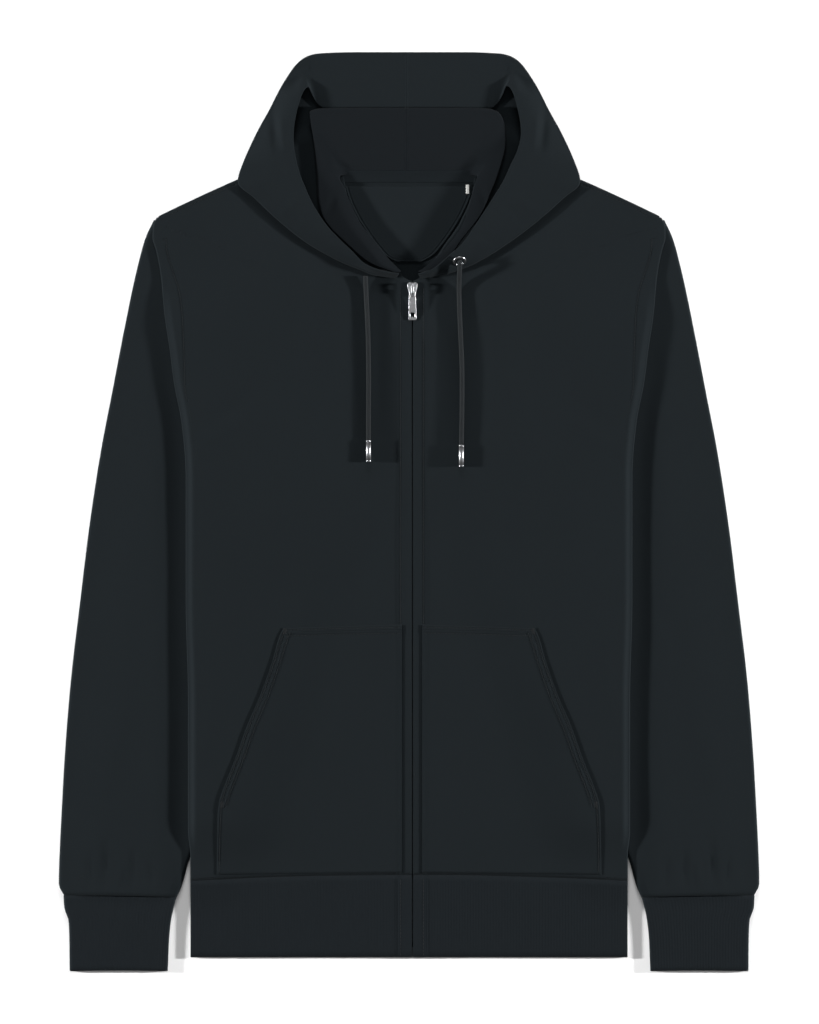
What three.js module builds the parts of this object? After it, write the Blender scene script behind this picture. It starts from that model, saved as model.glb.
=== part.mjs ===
// A zip-up hoodie laid flat, its sides and sleeves folded behind. Millimetres, +Z up, the hood towards +Y.
// Every cloth piece is a thin wall of its own, worked out from the flat garment's sizes.
import * as THREE from 'three';

// Driving dimensions
const cloth = 1.3; // wall of the brushed knit
const slack = 0.8; // air between two layers of one panel pair
const ply = 2 * cloth + slack; // height of a flattened tube
const seamGap = 0.3;
const bend = ply / 2; // outer radius of a fold
const sleeveLift = ply + 0.4; // how high the body lies over a sleeve
const liftRun = 60; // length of the slope up onto a sleeve
const liftEarly = 20; // the slope ends this far before the sleeve
const wrap = 65; // how far each front runs on under the body to its side seam
const zipX = 3; // line of the zip
const zipHalf = 0.8; // half the slot between the front edges
const ridge = 1.2; // rise of the front edges over the zip tapes
const ridgeHalf = 9;
const ridgeRun = 6;
const hemCentre = -314; // seam of the waistband at the centre
const hemDrop = 5; // how much lower it lies at the sides
const hemSide = 189;
const waistbandEnd = -385;
const neckPoint = [64, 321];
const patchWall = 0.8;
const pocketWall = 1.1;
const pocketGap = 0.45;
const cordWidth = 4;
const tipWidth = 4.8;
const tipLength = 19;

const colours = {
  knit: 0x1d2124, inside: 0x191c1e, rib: 0x191b1e, tape: 0x15171a,
  silver: 0xb9bbbd, cord: 0x202427, label: 0xe8e8e6,
};

const material = (colour, roughness = 0.9, metalness = 0) =>
  new THREE.MeshStandardMaterial({ color: colour, roughness, metalness });
const finish = {
  knit: material(colours.knit),
  inside: material(colours.inside),
  rib: material(colours.rib),
  tape: material(colours.tape),
  silver: material(colours.silver, 0.3, 1),
  cord: material(colours.cord),
  label: material(colours.label, 0.7),
};

const { lerp, smoothstep, clamp } = THREE.MathUtils;
const hoodie = new THREE.Group();

// The outline's tables: rows of [y, distance from the centre], from the top down
const foldTable = [
  [254, 218], [234, 222], [227, 219], [207, 215], [167, 211], [141, 207], [110, 203], [79, 197],
  [27, 193], [-77, 193], [-163, 191], [-276, 191], [-298, 189], [-385, 189],
];
const sleeveInnerTable = [
  [138, 61], [96, 65], [36, 79], [-16, 94], [-77, 113], [-111, 127], [-154, 142],
  [-206, 161], [-250, 172], [-292, 189], [-314, 195], [-333, 202], [-397, 210],
];
const shoulderTable = [[64, 321], [148, 287], [220, 253]];

function fromTable(table, at) {
  const rising = table[0][0] < table[table.length - 1][0];
  for (let i = 1; i < table.length; i++) {
    const [a, valueA] = table[i - 1];
    const [b, valueB] = table[i];
    if (rising ? at <= b : at >= b) return lerp(valueA, valueB, clamp((at - a) / (b - a), 0, 1));
  }
  return table[table.length - 1][1];
}

const foldX = (y) => fromTable(foldTable, y);
const shoulderY = (x) => fromTable(shoulderTable, Math.abs(x));
const hemY = (x) => hemCentre - hemDrop * (x / hemSide) ** 2;
const neckFall = 1.2; // slope of the line that stands for the neck opening
const shoulderEdgeY = (x) => shoulderY(x) - neckFall * Math.max(0, neckPoint[0] - Math.abs(x));

// How far inside the sleeve's edge a point lies: its inner edge, or its armhole line from shoulder to underarm
const armholeFrom = [220, 250];
const armholeTo = [61, 138];
function overSleeve(x, y) {
  const [dx, dy] = [armholeTo[0] - armholeFrom[0], armholeTo[1] - armholeFrom[1]];
  const below = (dx * (y - armholeFrom[1]) - dy * (Math.abs(x) - armholeFrom[0])) / Math.hypot(dx, dy);
  return Math.min(Math.abs(x) - fromTable(sleeveInnerTable, y), below);
}

// The body lies on the sleeves at its sides and on the floor between them and below them
function lift(x, y) {
  const slope = smoothstep(overSleeve(x, y), -liftEarly - liftRun, -liftEarly);
  return sleeveLift * slope * smoothstep(y, -350, -310);
}

const zipRidge = (x) => ridge * (1 - smoothstep(Math.abs(x - zipX), ridgeHalf, ridgeHalf + ridgeRun));
const frontTop = (x, y) => lift(x, y) + ply + zipRidge(x);

// A closed wall from a grid of points on its outer face; facing is 1 or -1 and turns the grid's normals outwards
function wall(grid, thickness, facing, closed = false) {
  const rows = grid.length;
  const cols = grid[0].length;
  const step = (j, by) => (closed ? (j + by + cols) % cols : clamp(j + by, 0, cols - 1));
  const inner = grid.map((row, i) => row.map((point, j) => {
    const across = row[step(j, 1)].clone().sub(row[step(j, -1)]);
    const along = grid[Math.min(i + 1, rows - 1)][j].clone().sub(grid[Math.max(i - 1, 0)][j]);
    const normal = across.cross(along).normalize().multiplyScalar(-facing * thickness);
    return point.clone().add(normal);
  }));
  const points = [...grid.flat(), ...inner.flat()];
  const index = [];
  const quad = (a, b, c, d) => index.push(a, b, c, a, c, d);
  const under = rows * cols;
  const lastCol = closed ? cols : cols - 1;
  for (let i = 0; i < rows - 1; i++) {
    for (let j = 0; j < lastCol; j++) {
      const [a, b] = [i * cols + j, i * cols + ((j + 1) % cols)];
      quad(a, b, b + cols, a + cols);
      quad(under + a, under + a + cols, under + b + cols, under + b);
    }
  }
  for (let j = 0; j < lastCol; j++) {
    const [a, b] = [j, (j + 1) % cols];
    quad(a, under + a, under + b, b);
    const top = (rows - 1) * cols;
    quad(top + b, under + top + b, under + top + a, top + a);
  }
  if (!closed) {
    for (let i = 0; i < rows - 1; i++) {
      const [a, b] = [i * cols, (i + 1) * cols];
      quad(b, under + b, under + a, a);
      quad(a + cols - 1, under + a + cols - 1, under + b + cols - 1, b + cols - 1);
    }
  }
  const volume = signedVolume(points, index);
  if (volume < 0) {
    for (let k = 0; k < index.length; k += 3) [index[k], index[k + 1]] = [index[k + 1], index[k]];
  }
  const geometry = new THREE.BufferGeometry().setFromPoints(points);
  geometry.setIndex(index);
  return geometry;
}

function signedVolume(points, index) {
  let sum = 0;
  for (let k = 0; k < index.length; k += 3) {
    const [a, b, c] = [points[index[k]], points[index[k + 1]], points[index[k + 2]]];
    sum += a.dot(b.clone().cross(c));
  }
  return sum;
}

function add(name, geometry, look, parent = hoodie) {
  const mesh = new THREE.Mesh(geometry, look);
  mesh.name = name;
  parent.add(mesh);
  return mesh;
}

const sides = [['left', -1], ['right', 1]];
const vector = (x, y, z) => new THREE.Vector3(x, y, z);
const steps = (from, to, count) => Array.from({ length: count + 1 }, (_, i) => lerp(from, to, i / count));

// Fronts: each runs from the zip to the side fold, round it and on underneath to the side seam
const topFractions = [0, 0.046, 0.08, 0.16, 0.25, 0.34, 0.43, 0.52, 0.61, 0.7, 0.8, 0.9, 1];
const neckRows = [ // where each of those columns ends at the neck and the shoulder
  [0.8, 199], [7, 202], [12, 208.5], [22, 220], [30, 232], [43, 250], [54, 274], [64, 321],
  [90, 310.5], [118, 299], [150, 286], [184, 270.5], [216.3, 255],
];
const neckEnd = neckRows.at(-1)[0];
const foldAngles = [45, 90, 135, 180];
const underRun = [20, 42, wrap];
const rowShares = [0, 0.07, 0.15, 0.23, 0.31, 0.39, 0.46, 0.53, 0.6, 0.67, 0.74, 0.8, 0.86, 0.92, 0.965, 1];
const edgeDip = 0.25; // front and back close on each other along the shoulder

const sidewards = (side, distance) => side * distance + zipX * Math.max(0, 1 - distance / 60);

function frontPoint(side, column, share) {
  const neckward = smoothstep(share, 0.55, 1);
  const dip = share === 1 ? edgeDip : 0;
  if (column < topFractions.length) {
    const [neckDistance, neckY] = neckRows[column];
    const fraction = topFractions[column];
    const atNeck = (neckDistance - zipHalf) / (neckEnd - zipHalf);
    const edge = foldX(lerp(hemCentre - hemDrop * fraction ** 2, neckY, share)) - bend;
    const x = sidewards(side, lerp(zipHalf, edge, lerp(fraction, atNeck, neckward)));
    const y = lerp(hemY(x), neckY, share);
    return vector(x, y, frontTop(x, y) - dip);
  }
  const turn = column - topFractions.length;
  const angle = THREE.MathUtils.degToRad(foldAngles[Math.min(turn, foldAngles.length - 1)]);
  const run = turn < foldAngles.length ? 0 : underRun[turn - foldAngles.length];
  const topEnd = shoulderY(218 - run);
  const y = lerp(hemY(hemSide - run), topEnd, share);
  const edge = foldX(y) - bend;
  const x = side * (edge + bend * Math.sin(angle) - run);
  const rise = lift(side * (edge - run), y);
  return vector(x, y, rise + bend + bend * Math.cos(angle) + (run ? dip : 0));
}

const frontColumns = topFractions.length + foldAngles.length + underRun.length;
const frontGrids = {};
for (const [name, side] of sides) {
  frontGrids[name] = rowShares.map((share) =>
    Array.from({ length: frontColumns }, (_, column) => frontPoint(side, column, share)));
  add(`front_${name}`, wall(frontGrids[name], cloth, side), finish.knit);
}

// The height of a front's upper face at a point, read off the two triangles of its grid's cell there
function heightOn(grid, x, y) {
  const place = vector(x, y, 0);
  const flat = (corner) => vector(corner.x, corner.y, 0);
  const shares = vector(0, 0, 0);
  for (let i = 1; i < grid.length; i++) {
    for (let j = 1; j < topFractions.length; j++) {
      const [a, b, c, d] = [grid[i - 1][j - 1], grid[i - 1][j], grid[i][j], grid[i][j - 1]];
      for (const [p, q, r] of [[a, b, c], [a, c, d]]) {
        THREE.Triangle.getBarycoord(place, flat(p), flat(q), flat(r), shares);
        if (Math.min(shares.x, shares.y, shares.z) > -1e-6) {
          return p.z * shares.x + q.z * shares.y + r.z * shares.z;
        }
      }
    }
  }
  return frontTop(x, y);
}

// Back: between the side seams, its outer face down
const backShares = [-1, -0.86, -0.72, -0.58, -0.41, -0.27, -0.13, 0, 0.13, 0.27, 0.41, 0.58, 0.72, 0.86, 1];
const backNeckY = 288;
function backPoint(across, share) {
  const topX = across * (foldX(254) - wrap - seamGap);
  const inNeck = Math.abs(topX) < neckPoint[0];
  const neckRise = (neckPoint[1] - backNeckY) * (topX / neckPoint[0]) ** 6;
  const topY = inNeck ? backNeckY + neckRise : shoulderY(topX);
  const yGuess = lerp(hemCentre, topY, share);
  const x = across * (foldX(yGuess) - bend - wrap - seamGap);
  const y = lerp(hemY(x), topY, share);
  return vector(x, y, lift(x, y) + (share === 1 ? edgeDip : 0));
}
const backGrid = rowShares.map((share) => backShares.map((across) => backPoint(across, share)));
add('back', wall(backGrid, cloth, -1), finish.knit);

// Sleeves and cuffs: flattened tubes, a row for each section from its outer to its inner edge
const sleeveRows = [ // [outer x, outer y, inner x, inner y]
  [220, 247, 61, 138], [227, 235, 63, 117], [234, 209, 65, 96], [245, 157, 79, 40], [255, 105, 92, -10],
  [265, 53, 104, -48], [275, -12, 119, -92], [283, -77, 133, -130], [291, -145, 150, -178],
  [296, -206, 164, -218], [299, -258, 179, -268], [301, -300, 192, -303], [301.5, -322, 198, -324],
  [297, -331.5, 202, -333],
];
const cuffRows = [
  [294, -331.9, 202.5, -333.4], [296, -343, 206, -347], [293, -354, 208, -360], [292, -397, 210, -397],
];
const acrossTop = steps(0, 1, 5);
const turnAngles = [45, 90, 135];

function tubeRow([outerX, outerY, innerX, innerY], side, arch) {
  const length = Math.hypot(outerX - innerX, outerY - innerY);
  const at = (distance, z) => {
    const share = distance / length;
    const y = lerp(outerY, innerY, share) + arch * Math.sin(Math.PI * clamp(share, 0, 1));
    return vector(side * lerp(outerX, innerX, share), y, z);
  };
  const flat = acrossTop.map((share) => lerp(bend, length - bend, share));
  const turned = (centre, from) => turnAngles.map((degrees) => {
    const angle = THREE.MathUtils.degToRad(from + degrees);
    return at(centre + bend * Math.sin(angle), bend + bend * Math.cos(angle));
  });
  return [
    ...flat.map((distance) => at(distance, ply)),
    ...turned(length - bend, 0),
    ...flat.toReversed().map((distance) => at(distance, 0)),
    ...turned(bend, 180),
  ];
}
for (const [name, side] of sides) {
  const tube = (rows, arch) => wall(rows.map((row) => tubeRow(row, side, arch)), cloth, side, true);
  add(`sleeve_${name}`, tube(sleeveRows, 1.2), finish.knit);
  add(`cuff_${name}`, tube(cuffRows, 1.2), finish.rib);
}

// Waistband: one strip from zip edge to zip edge, round both side folds
const bandTop = [0, 0.048, 0.08, 0.2, 0.36, 0.52, 0.68, 0.84, 1];
const bandUnder = steps(1, -1, 12);
const bandRows = [0, 0.15, 0.36, 0.7, 1];
function bandPoint(place, share) {
  const start = hemY(place.x) - seamGap;
  const y = lerp(start, waistbandEnd, share);
  const rise = lift(place.x, y);
  if (place.top) return vector(place.x, y, rise + ply + zipRidge(place.x));
  return vector(place.x, y, rise + bend + bend * Math.cos(place.angle));
}
const bandEdge = hemSide - bend;
const halfBand = (side) => bandTop.map((share) =>
  ({ x: sidewards(side, lerp(zipHalf, bandEdge, share)), top: true }));
const bandTurn = (side) => turnAngles.map((degrees) => {
  const angle = THREE.MathUtils.degToRad(degrees);
  return { x: side * (bandEdge + bend * Math.sin(angle)), angle };
});
const bandPlaces = [
  ...halfBand(1), ...bandTurn(1),
  ...bandUnder.map((share) => ({ x: share * bandEdge, angle: Math.PI })),
  ...bandTurn(-1).toReversed(), ...halfBand(-1).toReversed(),
];
const bandGrid = bandRows.map((share) => bandPlaces.map((place) => bandPoint(place, share)));
add('waistband', wall(bandGrid, cloth, -1), finish.rib);

// Pockets: each half lies on its front, its slanted edge open
const pocketRows = [ // [y, outer edge]
  [-101, 108], [-104, 110], [-130, 118], [-158, 128], [-186, 140], [-214, 150],
  [-239, 160], [-252, 164], [-285, 165.5], [-312, 166],
];
const pocketInner = 9;
const pocketShares = steps(0, 1, 9);
for (const [name, side] of sides) {
  const grid = pocketRows.map(([rowY, outer]) => pocketShares.map((share) => {
    const x = sidewards(side, lerp(pocketInner, outer, share));
    const y = rowY > -102 ? rowY + 3 * (1 - share) : rowY - 1.5 * share * (rowY < -300);
    return vector(x, y, heightOn(frontGrids[name], x, y) + pocketGap + pocketWall);
  }));
  add(`pocket_${name}`, wall(grid, pocketWall, -side), finish.knit);
}

// Hood: each half is folded at its outer edge and lies double, its opening edge on top
const hoodBase = 1.1; // clearance over the body
const hoodLow = 0.3;
const hoodLeast = 4.6;
function hoodFloor(grid, x, y) {
  const away = y - shoulderEdgeY(x);
  const onBody = heightOn(grid, x, Math.min(y, shoulderEdgeY(x) - 1)) + hoodBase;
  return lerp(Math.max(onBody, hoodLeast), hoodLow, smoothstep(away, 16, 36));
}
const hoodRows = {
  // [opening x, y, height there, fold x, y, end of the under layer x, y]
  left: [
    [9, 204.5, 11.6, 12, 201.5, 9.6, 204], [26, 208, 12.6, 30, 204, 27, 207], [38, 213, 13.4, 43, 209, 40, 220],
    [49, 224, 14, 62, 217, 52, 238], [69, 244, 14.8, 90, 233, 60, 260], [82, 263, 15, 115, 253, 64, 280],
    [90, 280, 15, 134, 271, 68, 294], [95, 293, 15, 148, 285, 72, 306], [99, 310, 15, 142, 305, 74, 318],
    [100, 325, 14, 132, 327, 76, 328], [98, 342, 13, 121, 347, 77, 338], [92, 362, 11, 109, 370, 79, 343],
    [87, 373, 8.5, 98, 386, 79, 349], [79, 352, 3.9, 87, 394, 74, 353], [60, 342, 3.9, 68, 396.6, 56, 350],
    [36, 338, 3.9, 40, 397, 34, 331], [2.2, 338, 3.9, 2.2, 397, 2.2, 331],
  ],
  right: [
    [8, 204.5, 11.6, 11, 201.5, 8.6, 204], [21, 209.5, 12.6, 28, 204, 25, 207], [36, 222, 13.4, 50, 211, 42, 223],
    [46, 231, 14, 66, 219, 54, 240], [62, 254, 14.8, 92, 236, 60, 262], [73, 271, 15, 115, 254, 64, 280],
    [82, 286, 15, 134, 271, 68, 294], [88, 299, 15, 148, 285, 72, 306], [94, 312, 15, 142, 305, 74, 318],
    [97, 327, 14, 132, 327, 76, 328], [95, 344, 13, 121, 347, 77, 338], [89, 364, 11, 109, 370, 79, 343],
    [84, 375, 8.5, 98, 386, 79, 349], [76, 352, 3.9, 87, 394, 72, 353], [58, 342, 3.9, 68, 396.6, 55, 350],
    [36, 338, 3.9, 40, 397, 34, 331], [-1.8, 338, 3.9, -1.8, 397, -1.8, 331],
  ],
};
const hoodAcross = [0, 0.12, 0.35, 0.6, 0.82, 1];
const hoodUnder = [0.25, 0.6, 1];

// A folded section from its top edge out to the fold, round it, and back along floor(x, y)
function foldedRow([openX, openY, openZ, foldXAt, foldYAt, endX, endY], side, floor, bulge) {
  const span = Math.hypot(foldXAt - openX, foldYAt - openY);
  const [dirX, dirY] = [(foldXAt - openX) / span, (foldYAt - openY) / span];
  const radius = Math.min(bend, span / 2.5);
  const flat = span - radius;
  const outX = openX + dirX * flat;
  const outY = openY + dirY * flat;
  const low = floor(side * outX, outY);
  const top = hoodAcross.map((share) => {
    const z = lerp(openZ, low + 2 * bend, share) + bulge * Math.min(1, span / 30) * Math.sin(Math.PI * share);
    return vector(side * (openX + dirX * flat * share), openY + dirY * flat * share, z);
  });
  const turned = turnAngles.map((degrees) => {
    const angle = THREE.MathUtils.degToRad(degrees);
    const out = radius * Math.sin(angle);
    return vector(side * (outX + dirX * out), outY + dirY * out, low + bend + bend * Math.cos(angle));
  });
  const below = [0, ...hoodUnder].map((share) => {
    const x = side * lerp(outX, endX, share);
    const y = lerp(outY, endY, share);
    return vector(x, y, floor(x, y));
  });
  return [...top, ...turned, ...below];
}
for (const [name, side] of sides) {
  const floor = (x, y) => hoodFloor(frontGrids[name], x, y);
  const grid = hoodRows[name].map((row) => foldedRow(row, side, floor, 1.2));
  add(`hood_${name}`, wall(grid, cloth, side), finish.knit);
}

// Inside of the hood: strips that rise from the front neckline, and the collar from the back neck to its fold
const liningRows = {
  // [neck x, y, height there, fold x, y, fold's low side, end of the under layer x, y]
  left: [
    [7, 207.5, 8.6, 13, 206, 5.9, 11, 206.7], [19, 219.5, 9, 36, 215.5, 6.3, 30, 217],
    [27, 230, 9.3, 52, 229, 6.6, 44, 230], [42, 249, 9.6, 73, 251, 6.6, 62, 251],
    [50, 265, 9.8, 78.5, 267, 6.6, 68, 267], [56, 280, 9.8, 80, 291, 6.6, 70, 289],
    [60, 288, 9.6, 82, 317, 6.6, 73, 311], [57.5, 291, 8.2, 86, 345, 6.6, 78, 336],
    [54, 291.5, 4.4, 81, 347.5, 6.3, 74, 338], [48, 291.5, 3.1, 70, 348.5, 6.1, 65, 338],
    [28, 291.5, 3.1, 36, 349, 5.4, 34, 338], [2.2, 291.5, 3.1, 2.2, 349, 5.4, 2.2, 338],
  ],
  right: [
    [8, 207.5, 8.6, 14, 206.5, 5.9, 12, 207], [17, 213.5, 9, 33, 217, 6.3, 27, 216.5],
    [33, 229, 9.3, 46, 235, 6.6, 41, 232], [47, 249, 9.6, 64, 259, 6.6, 57, 256],
    [52, 265, 9.8, 71, 275, 6.6, 63, 271], [56, 280, 9.8, 78, 293, 6.6, 69, 290],
    [59, 290, 9.6, 84, 320, 6.6, 74, 313], [56.5, 291, 8.2, 79, 343, 6.6, 73, 335],
    [53, 291.5, 4.4, 73, 347, 6.3, 68, 338], [46, 291.5, 3.1, 60, 348.5, 6.1, 57, 338],
    [26, 291.5, 3.1, 32, 349, 5.4, 31, 338], [-1.8, 291.5, 3.1, -1.8, 349, 5.4, -1.8, 338],
  ],
};
for (const [name, side] of sides) {
  const grid = liningRows[name].map(([neckX, neckY, height, edgeX, edgeY, low, endX, endY]) =>
    foldedRow([neckX, neckY, height, edgeX, edgeY, endX, endY], side, () => low, 0.3));
  add(`hood_lining_${name}`, wall(grid, cloth, side), finish.inside);
}

// Back neck: the patch on the inside of the back, the tape over the seam, and a bare label
const patchRows = [[281, 46], [270, 42], [257, 38], [243, 31], [230, 24.5], [221, 18], [216, 9]]; // [y, half width]
const patchGrid = patchRows.map(([y, half]) => steps(-1, 1, 8).map((across) => {
  const x = across * half - 1;
  return vector(x, y, lift(x, y) + cloth + seamGap + patchWall);
}));
add('back_patch', wall(patchGrid, patchWall, -1), finish.knit);

const tapeHalf = 49;
const tapeRows = [[284.5, 3.6], [290, 4.3], [294.5, 5.2]]; // [y, height of its top]
const tapeGrid = tapeRows.map(([y, top]) =>
  steps(-1, 1, 8).map((across) => vector(across * tapeHalf - 1, y, top)));
add('neck_tape', wall(tapeGrid, patchWall, 1), finish.tape);

const label = new THREE.BoxGeometry(2.6, 7.6, 0.8);
label.translate(50.6, 278.6, 2.05);
add('label', label, finish.label);

// Zip: two tapes under the front edges, the box at their foot, the slider and its pull
const tapeLow = cloth + 0.8;
const tapeWide = 8;
for (const [name, side] of sides) {
  const grid = steps(-376, 196, 16).map((y) => [0.3, 4, tapeWide].map((distance) => {
    const x = zipX + side * distance;
    return vector(x, y, lift(x, y) + tapeLow + patchWall);
  }));
  add(`zip_tape_${name}`, wall(grid, patchWall, side), finish.tape);
}
const zipBox = new THREE.BoxGeometry(8, 7.5, 1.2);
zipBox.translate(zipX, -380.6, tapeLow + 0.4);
add('zip_box', zipBox, finish.silver);

const sliderY = 192;
const sliderLow = frontTop(zipX, sliderY) + 0.35;
const sliderHigh = 2.2;
const sliderOutline = new THREE.Shape([
  [-2.6, -6.5], [2.6, -6.5], [3.3, -2], [4.6, 3.4], [4.2, 5.4], [2.2, 6.2],
  [0, 5.2], [-2.2, 6.2], [-4.2, 5.4], [-4.6, 3.4], [-3.3, -2],
].map(([x, y]) => new THREE.Vector2(x, y)));
const sliderPlate = new THREE.ExtrudeGeometry(sliderOutline, { depth: sliderHigh, bevelEnabled: false });
sliderPlate.translate(zipX, sliderY, sliderLow);
add('zip_slider', sliderPlate, finish.silver);

// The bail is a low arch over the slider; the pull's ring turns in it
const bailFoot = sliderLow + sliderHigh + seamGap;
const bailOutline = new THREE.Shape([
  [-4.6, 0], [-3.2, 0], [-3.2, 2.4], [3.2, 2.4], [3.2, 0], [4.6, 0], [4.6, 2.6], [3.6, 3.6], [-3.6, 3.6], [-4.6, 2.6],
].map(([x, y]) => new THREE.Vector2(x, y)));
const bail = new THREE.ExtrudeGeometry(bailOutline, { depth: 2.4, bevelEnabled: false });
bail.rotateX(Math.PI / 2).rotateZ(Math.PI / 2);
bail.translate(zipX - 1.2, sliderY, bailFoot);
add('zip_bail', bail, finish.silver);

// Pull: a flat tab with a square hole at each end; its top bar turns inside the bail, and its tip lies on the cloth
const pullThick = 1.1;
const pullLength = 26;
const pullHalfTop = 3.1;
const pullHalfFoot = 3.9;
const pullCorner = 1;
const barHalf = 0.9;
const pullTilt = THREE.MathUtils.degToRad(4.5);
const pivotY = sliderY - 1.7;
const pivotZ = bailFoot + 1.2;
const square = (half, high, low) => new THREE.Path([
  new THREE.Vector2(-half, low), new THREE.Vector2(half, low), new THREE.Vector2(half, high),
  new THREE.Vector2(-half, high),
]);
const pullFoot = barHalf - pullLength;
const pullShape = new THREE.Shape([
  [-pullHalfTop, barHalf], [pullHalfTop, barHalf], [pullHalfFoot, pullFoot + pullCorner],
  [pullHalfFoot - pullCorner, pullFoot], [-pullHalfFoot + pullCorner, pullFoot], [-pullHalfFoot, pullFoot + pullCorner],
].map(([x, y]) => new THREE.Vector2(x, y)));
pullShape.holes.push(square(1.7, -barHalf, -5), square(1.8, pullFoot + 6.5, pullFoot + 2.6));
const pull = new THREE.ExtrudeGeometry(pullShape, { depth: pullThick, bevelEnabled: false });
pull.translate(0, 0, -pullThick / 2).rotateX(pullTilt);
pull.translate(zipX, pivotY, pivotZ);
add('zip_pull', pull, finish.silver);

// Eyelet: a thin ring that lies on the slope of the hood's right edge, where the cord comes out
const ring = new THREE.LatheGeometry([
  [3, 0], [6, 0], [6.2, 0.5], [5.6, 1.1], [3.4, 1.1], [2.8, 0.5], [3, 0],
].map(([x, y]) => new THREE.Vector2(x, y)), 20);
const ringSeat = vector(43.6, 216, 12);
const ringFacing = vector(0.17, -0.306, 0.937).normalize();
ring.applyQuaternion(new THREE.Quaternion().setFromUnitVectors(vector(0, 1, 0), ringFacing));
ring.translate(...ringSeat);
add('eyelet_right', ring, finish.silver);

// Drawcord ends and their metal tips
const cordRoutes = {
  left: [
    [-37.5, 203.2, 8.2], [-37.4, 196, 7.4], [-37, 186, 6.9], [-36.2, 170, 0], [-35.4, 150, 0], [-35, 128, 0],
    [-34.9, 106, 0], [-35, 84, 0], [-35, 62, 0],
  ],
  right: [
    [43.8, 216.2, 13.8], [43.8, 213.6, 15.5], [43.7, 210.2, 15], [43.5, 205, 12.2], [43.3, 199, 9.1],
    [43.2, 190, 7.3], [43.6, 174, 0], [44.6, 150, 0],
    [45.6, 128, 0], [45.8, 104, 0], [45.6, 80, 0], [45.2, 58, 0],
  ],
};
const cordRest = 0.4;
function cordPoint([x, y, z]) {
  return vector(x, y, Math.max(z, frontTop(x, y) + cordWidth / 2 + cordRest));
}
const octagon = new THREE.Shape(steps(0, 7, 7).map((i) => {
  const angle = (i * Math.PI) / 4;
  return new THREE.Vector2((cordWidth / 2) * Math.cos(angle), (cordWidth / 2) * Math.sin(angle));
}));
for (const [name] of sides) {
  const points = cordRoutes[name].map(cordPoint);
  const path = new THREE.CatmullRomCurve3(points, false, 'centripetal');
  add(`cord_${name}`, new THREE.ExtrudeGeometry(octagon, { steps: 16, extrudePath: path }), finish.cord);
  const end = points[points.length - 1];
  const tip = new THREE.LatheGeometry([
    [0, 0], [tipWidth / 2 - 0.5, 0], [tipWidth / 2, 0.6], [tipWidth / 2, tipLength - 0.6],
    [tipWidth / 2 - 0.5, tipLength], [0, tipLength],
  ].map(([x, y]) => new THREE.Vector2(x, y)), 12);
  tip.translate(end.x, end.y - seamGap - tipLength, end.z + tipWidth / 2 - cordWidth / 2);
  add(`tip_${name}`, tip, finish.silver);
}

export default hoodie;
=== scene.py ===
import math

import bmesh
import bpy
import numpy as np
from bpy.props import FloatProperty, FloatVectorProperty, IntProperty, PointerProperty
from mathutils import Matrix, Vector


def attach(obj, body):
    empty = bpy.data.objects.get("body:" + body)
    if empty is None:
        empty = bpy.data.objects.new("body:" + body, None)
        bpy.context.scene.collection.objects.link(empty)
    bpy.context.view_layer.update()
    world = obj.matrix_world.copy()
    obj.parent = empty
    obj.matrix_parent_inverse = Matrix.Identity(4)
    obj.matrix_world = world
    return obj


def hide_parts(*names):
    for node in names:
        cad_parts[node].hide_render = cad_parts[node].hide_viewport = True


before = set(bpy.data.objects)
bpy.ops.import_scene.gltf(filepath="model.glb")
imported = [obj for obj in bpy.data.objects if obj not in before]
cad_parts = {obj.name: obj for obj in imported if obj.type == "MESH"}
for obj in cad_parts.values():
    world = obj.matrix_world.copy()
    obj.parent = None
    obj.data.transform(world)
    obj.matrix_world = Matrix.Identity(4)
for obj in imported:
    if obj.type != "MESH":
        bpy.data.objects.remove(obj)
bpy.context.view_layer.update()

bl_info = {
    "name": "Flat-laid zip hoodie",
    "version": (1, 0, 0),
    "blender": (4, 5, 0),
    "location": "View3D > Sidebar > Hoodie",
    "description": "Makes a zip-up hoodie laid flat: jersey, rib, pockets, hood, drawcord and zip",
    "category": "Add Mesh",
}

# A near-black zip-up hoodie laid flat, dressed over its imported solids.
# Tables and shapes are in millimetres; the stage, the flat sizes and the bumps are in metres.
MM = 0.001
BODY = "garment"
FAR = 99.0
FLOOR_Z = -0.0004

# Sizes shared with the solids
CLOTH = 1.3
SLACK = 0.8
PLY = 2 * CLOTH + SLACK
SEAM_GAP = 0.3
BEND = PLY / 2
SLEEVE_LIFT = PLY + 0.4
LIFT_RUN = 60
LIFT_EARLY = 20
WRAP = 65
ZIP_X = 3
ZIP_HALF = 0.8
RIDGE = 1.2
RIDGE_HALF = 9
RIDGE_RUN = 6
HEM_CENTRE = -314
HEM_DROP = 5
HEM_SIDE = 189
BAND_END = -385
NECK_X, NECK_Y = 64, 321
PATCH_WALL = 0.8
CORD_WIDTH = 4
CORD_REST = 0.4
TIP_WIDTH = 4.8
TIP_LENGTH = 19
SIDES = (("left", -1), ("right", 1))

# The eyelet's seat on the hood's edge, and the way it faces
EYELET_AT = (43.6, 216, 12.9)
EYELET_FACING = (0.12, -0.71, 0.69)

# How full and how thick the cloth lies, where that differs from the solids
SIDE_RISE = 5
SLEEVE_SWELL = 2.6
CUFF_SWELL = 0.2
BAND_RIB = 0.1
RIB_PITCH = 2.5
POCKET_WALL = 0.7
POCKET_GAP = 0.15

# The zip's metal parts
SLIDER_Y = 192
SLIDER_Z = 4.97
PULL_AT = (190.3, 8.6685)
PULL_TILT = 4.5
PULL_LENGTH = 26
BOX_AT = (-380.6, 2.5)
TEETH_FROM, TEETH_RUN = -372, 556
TOOTH_LOW, TOOTH_HIGH, TOOTH_HALF = 2.95, 3.95, 0.62

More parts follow.
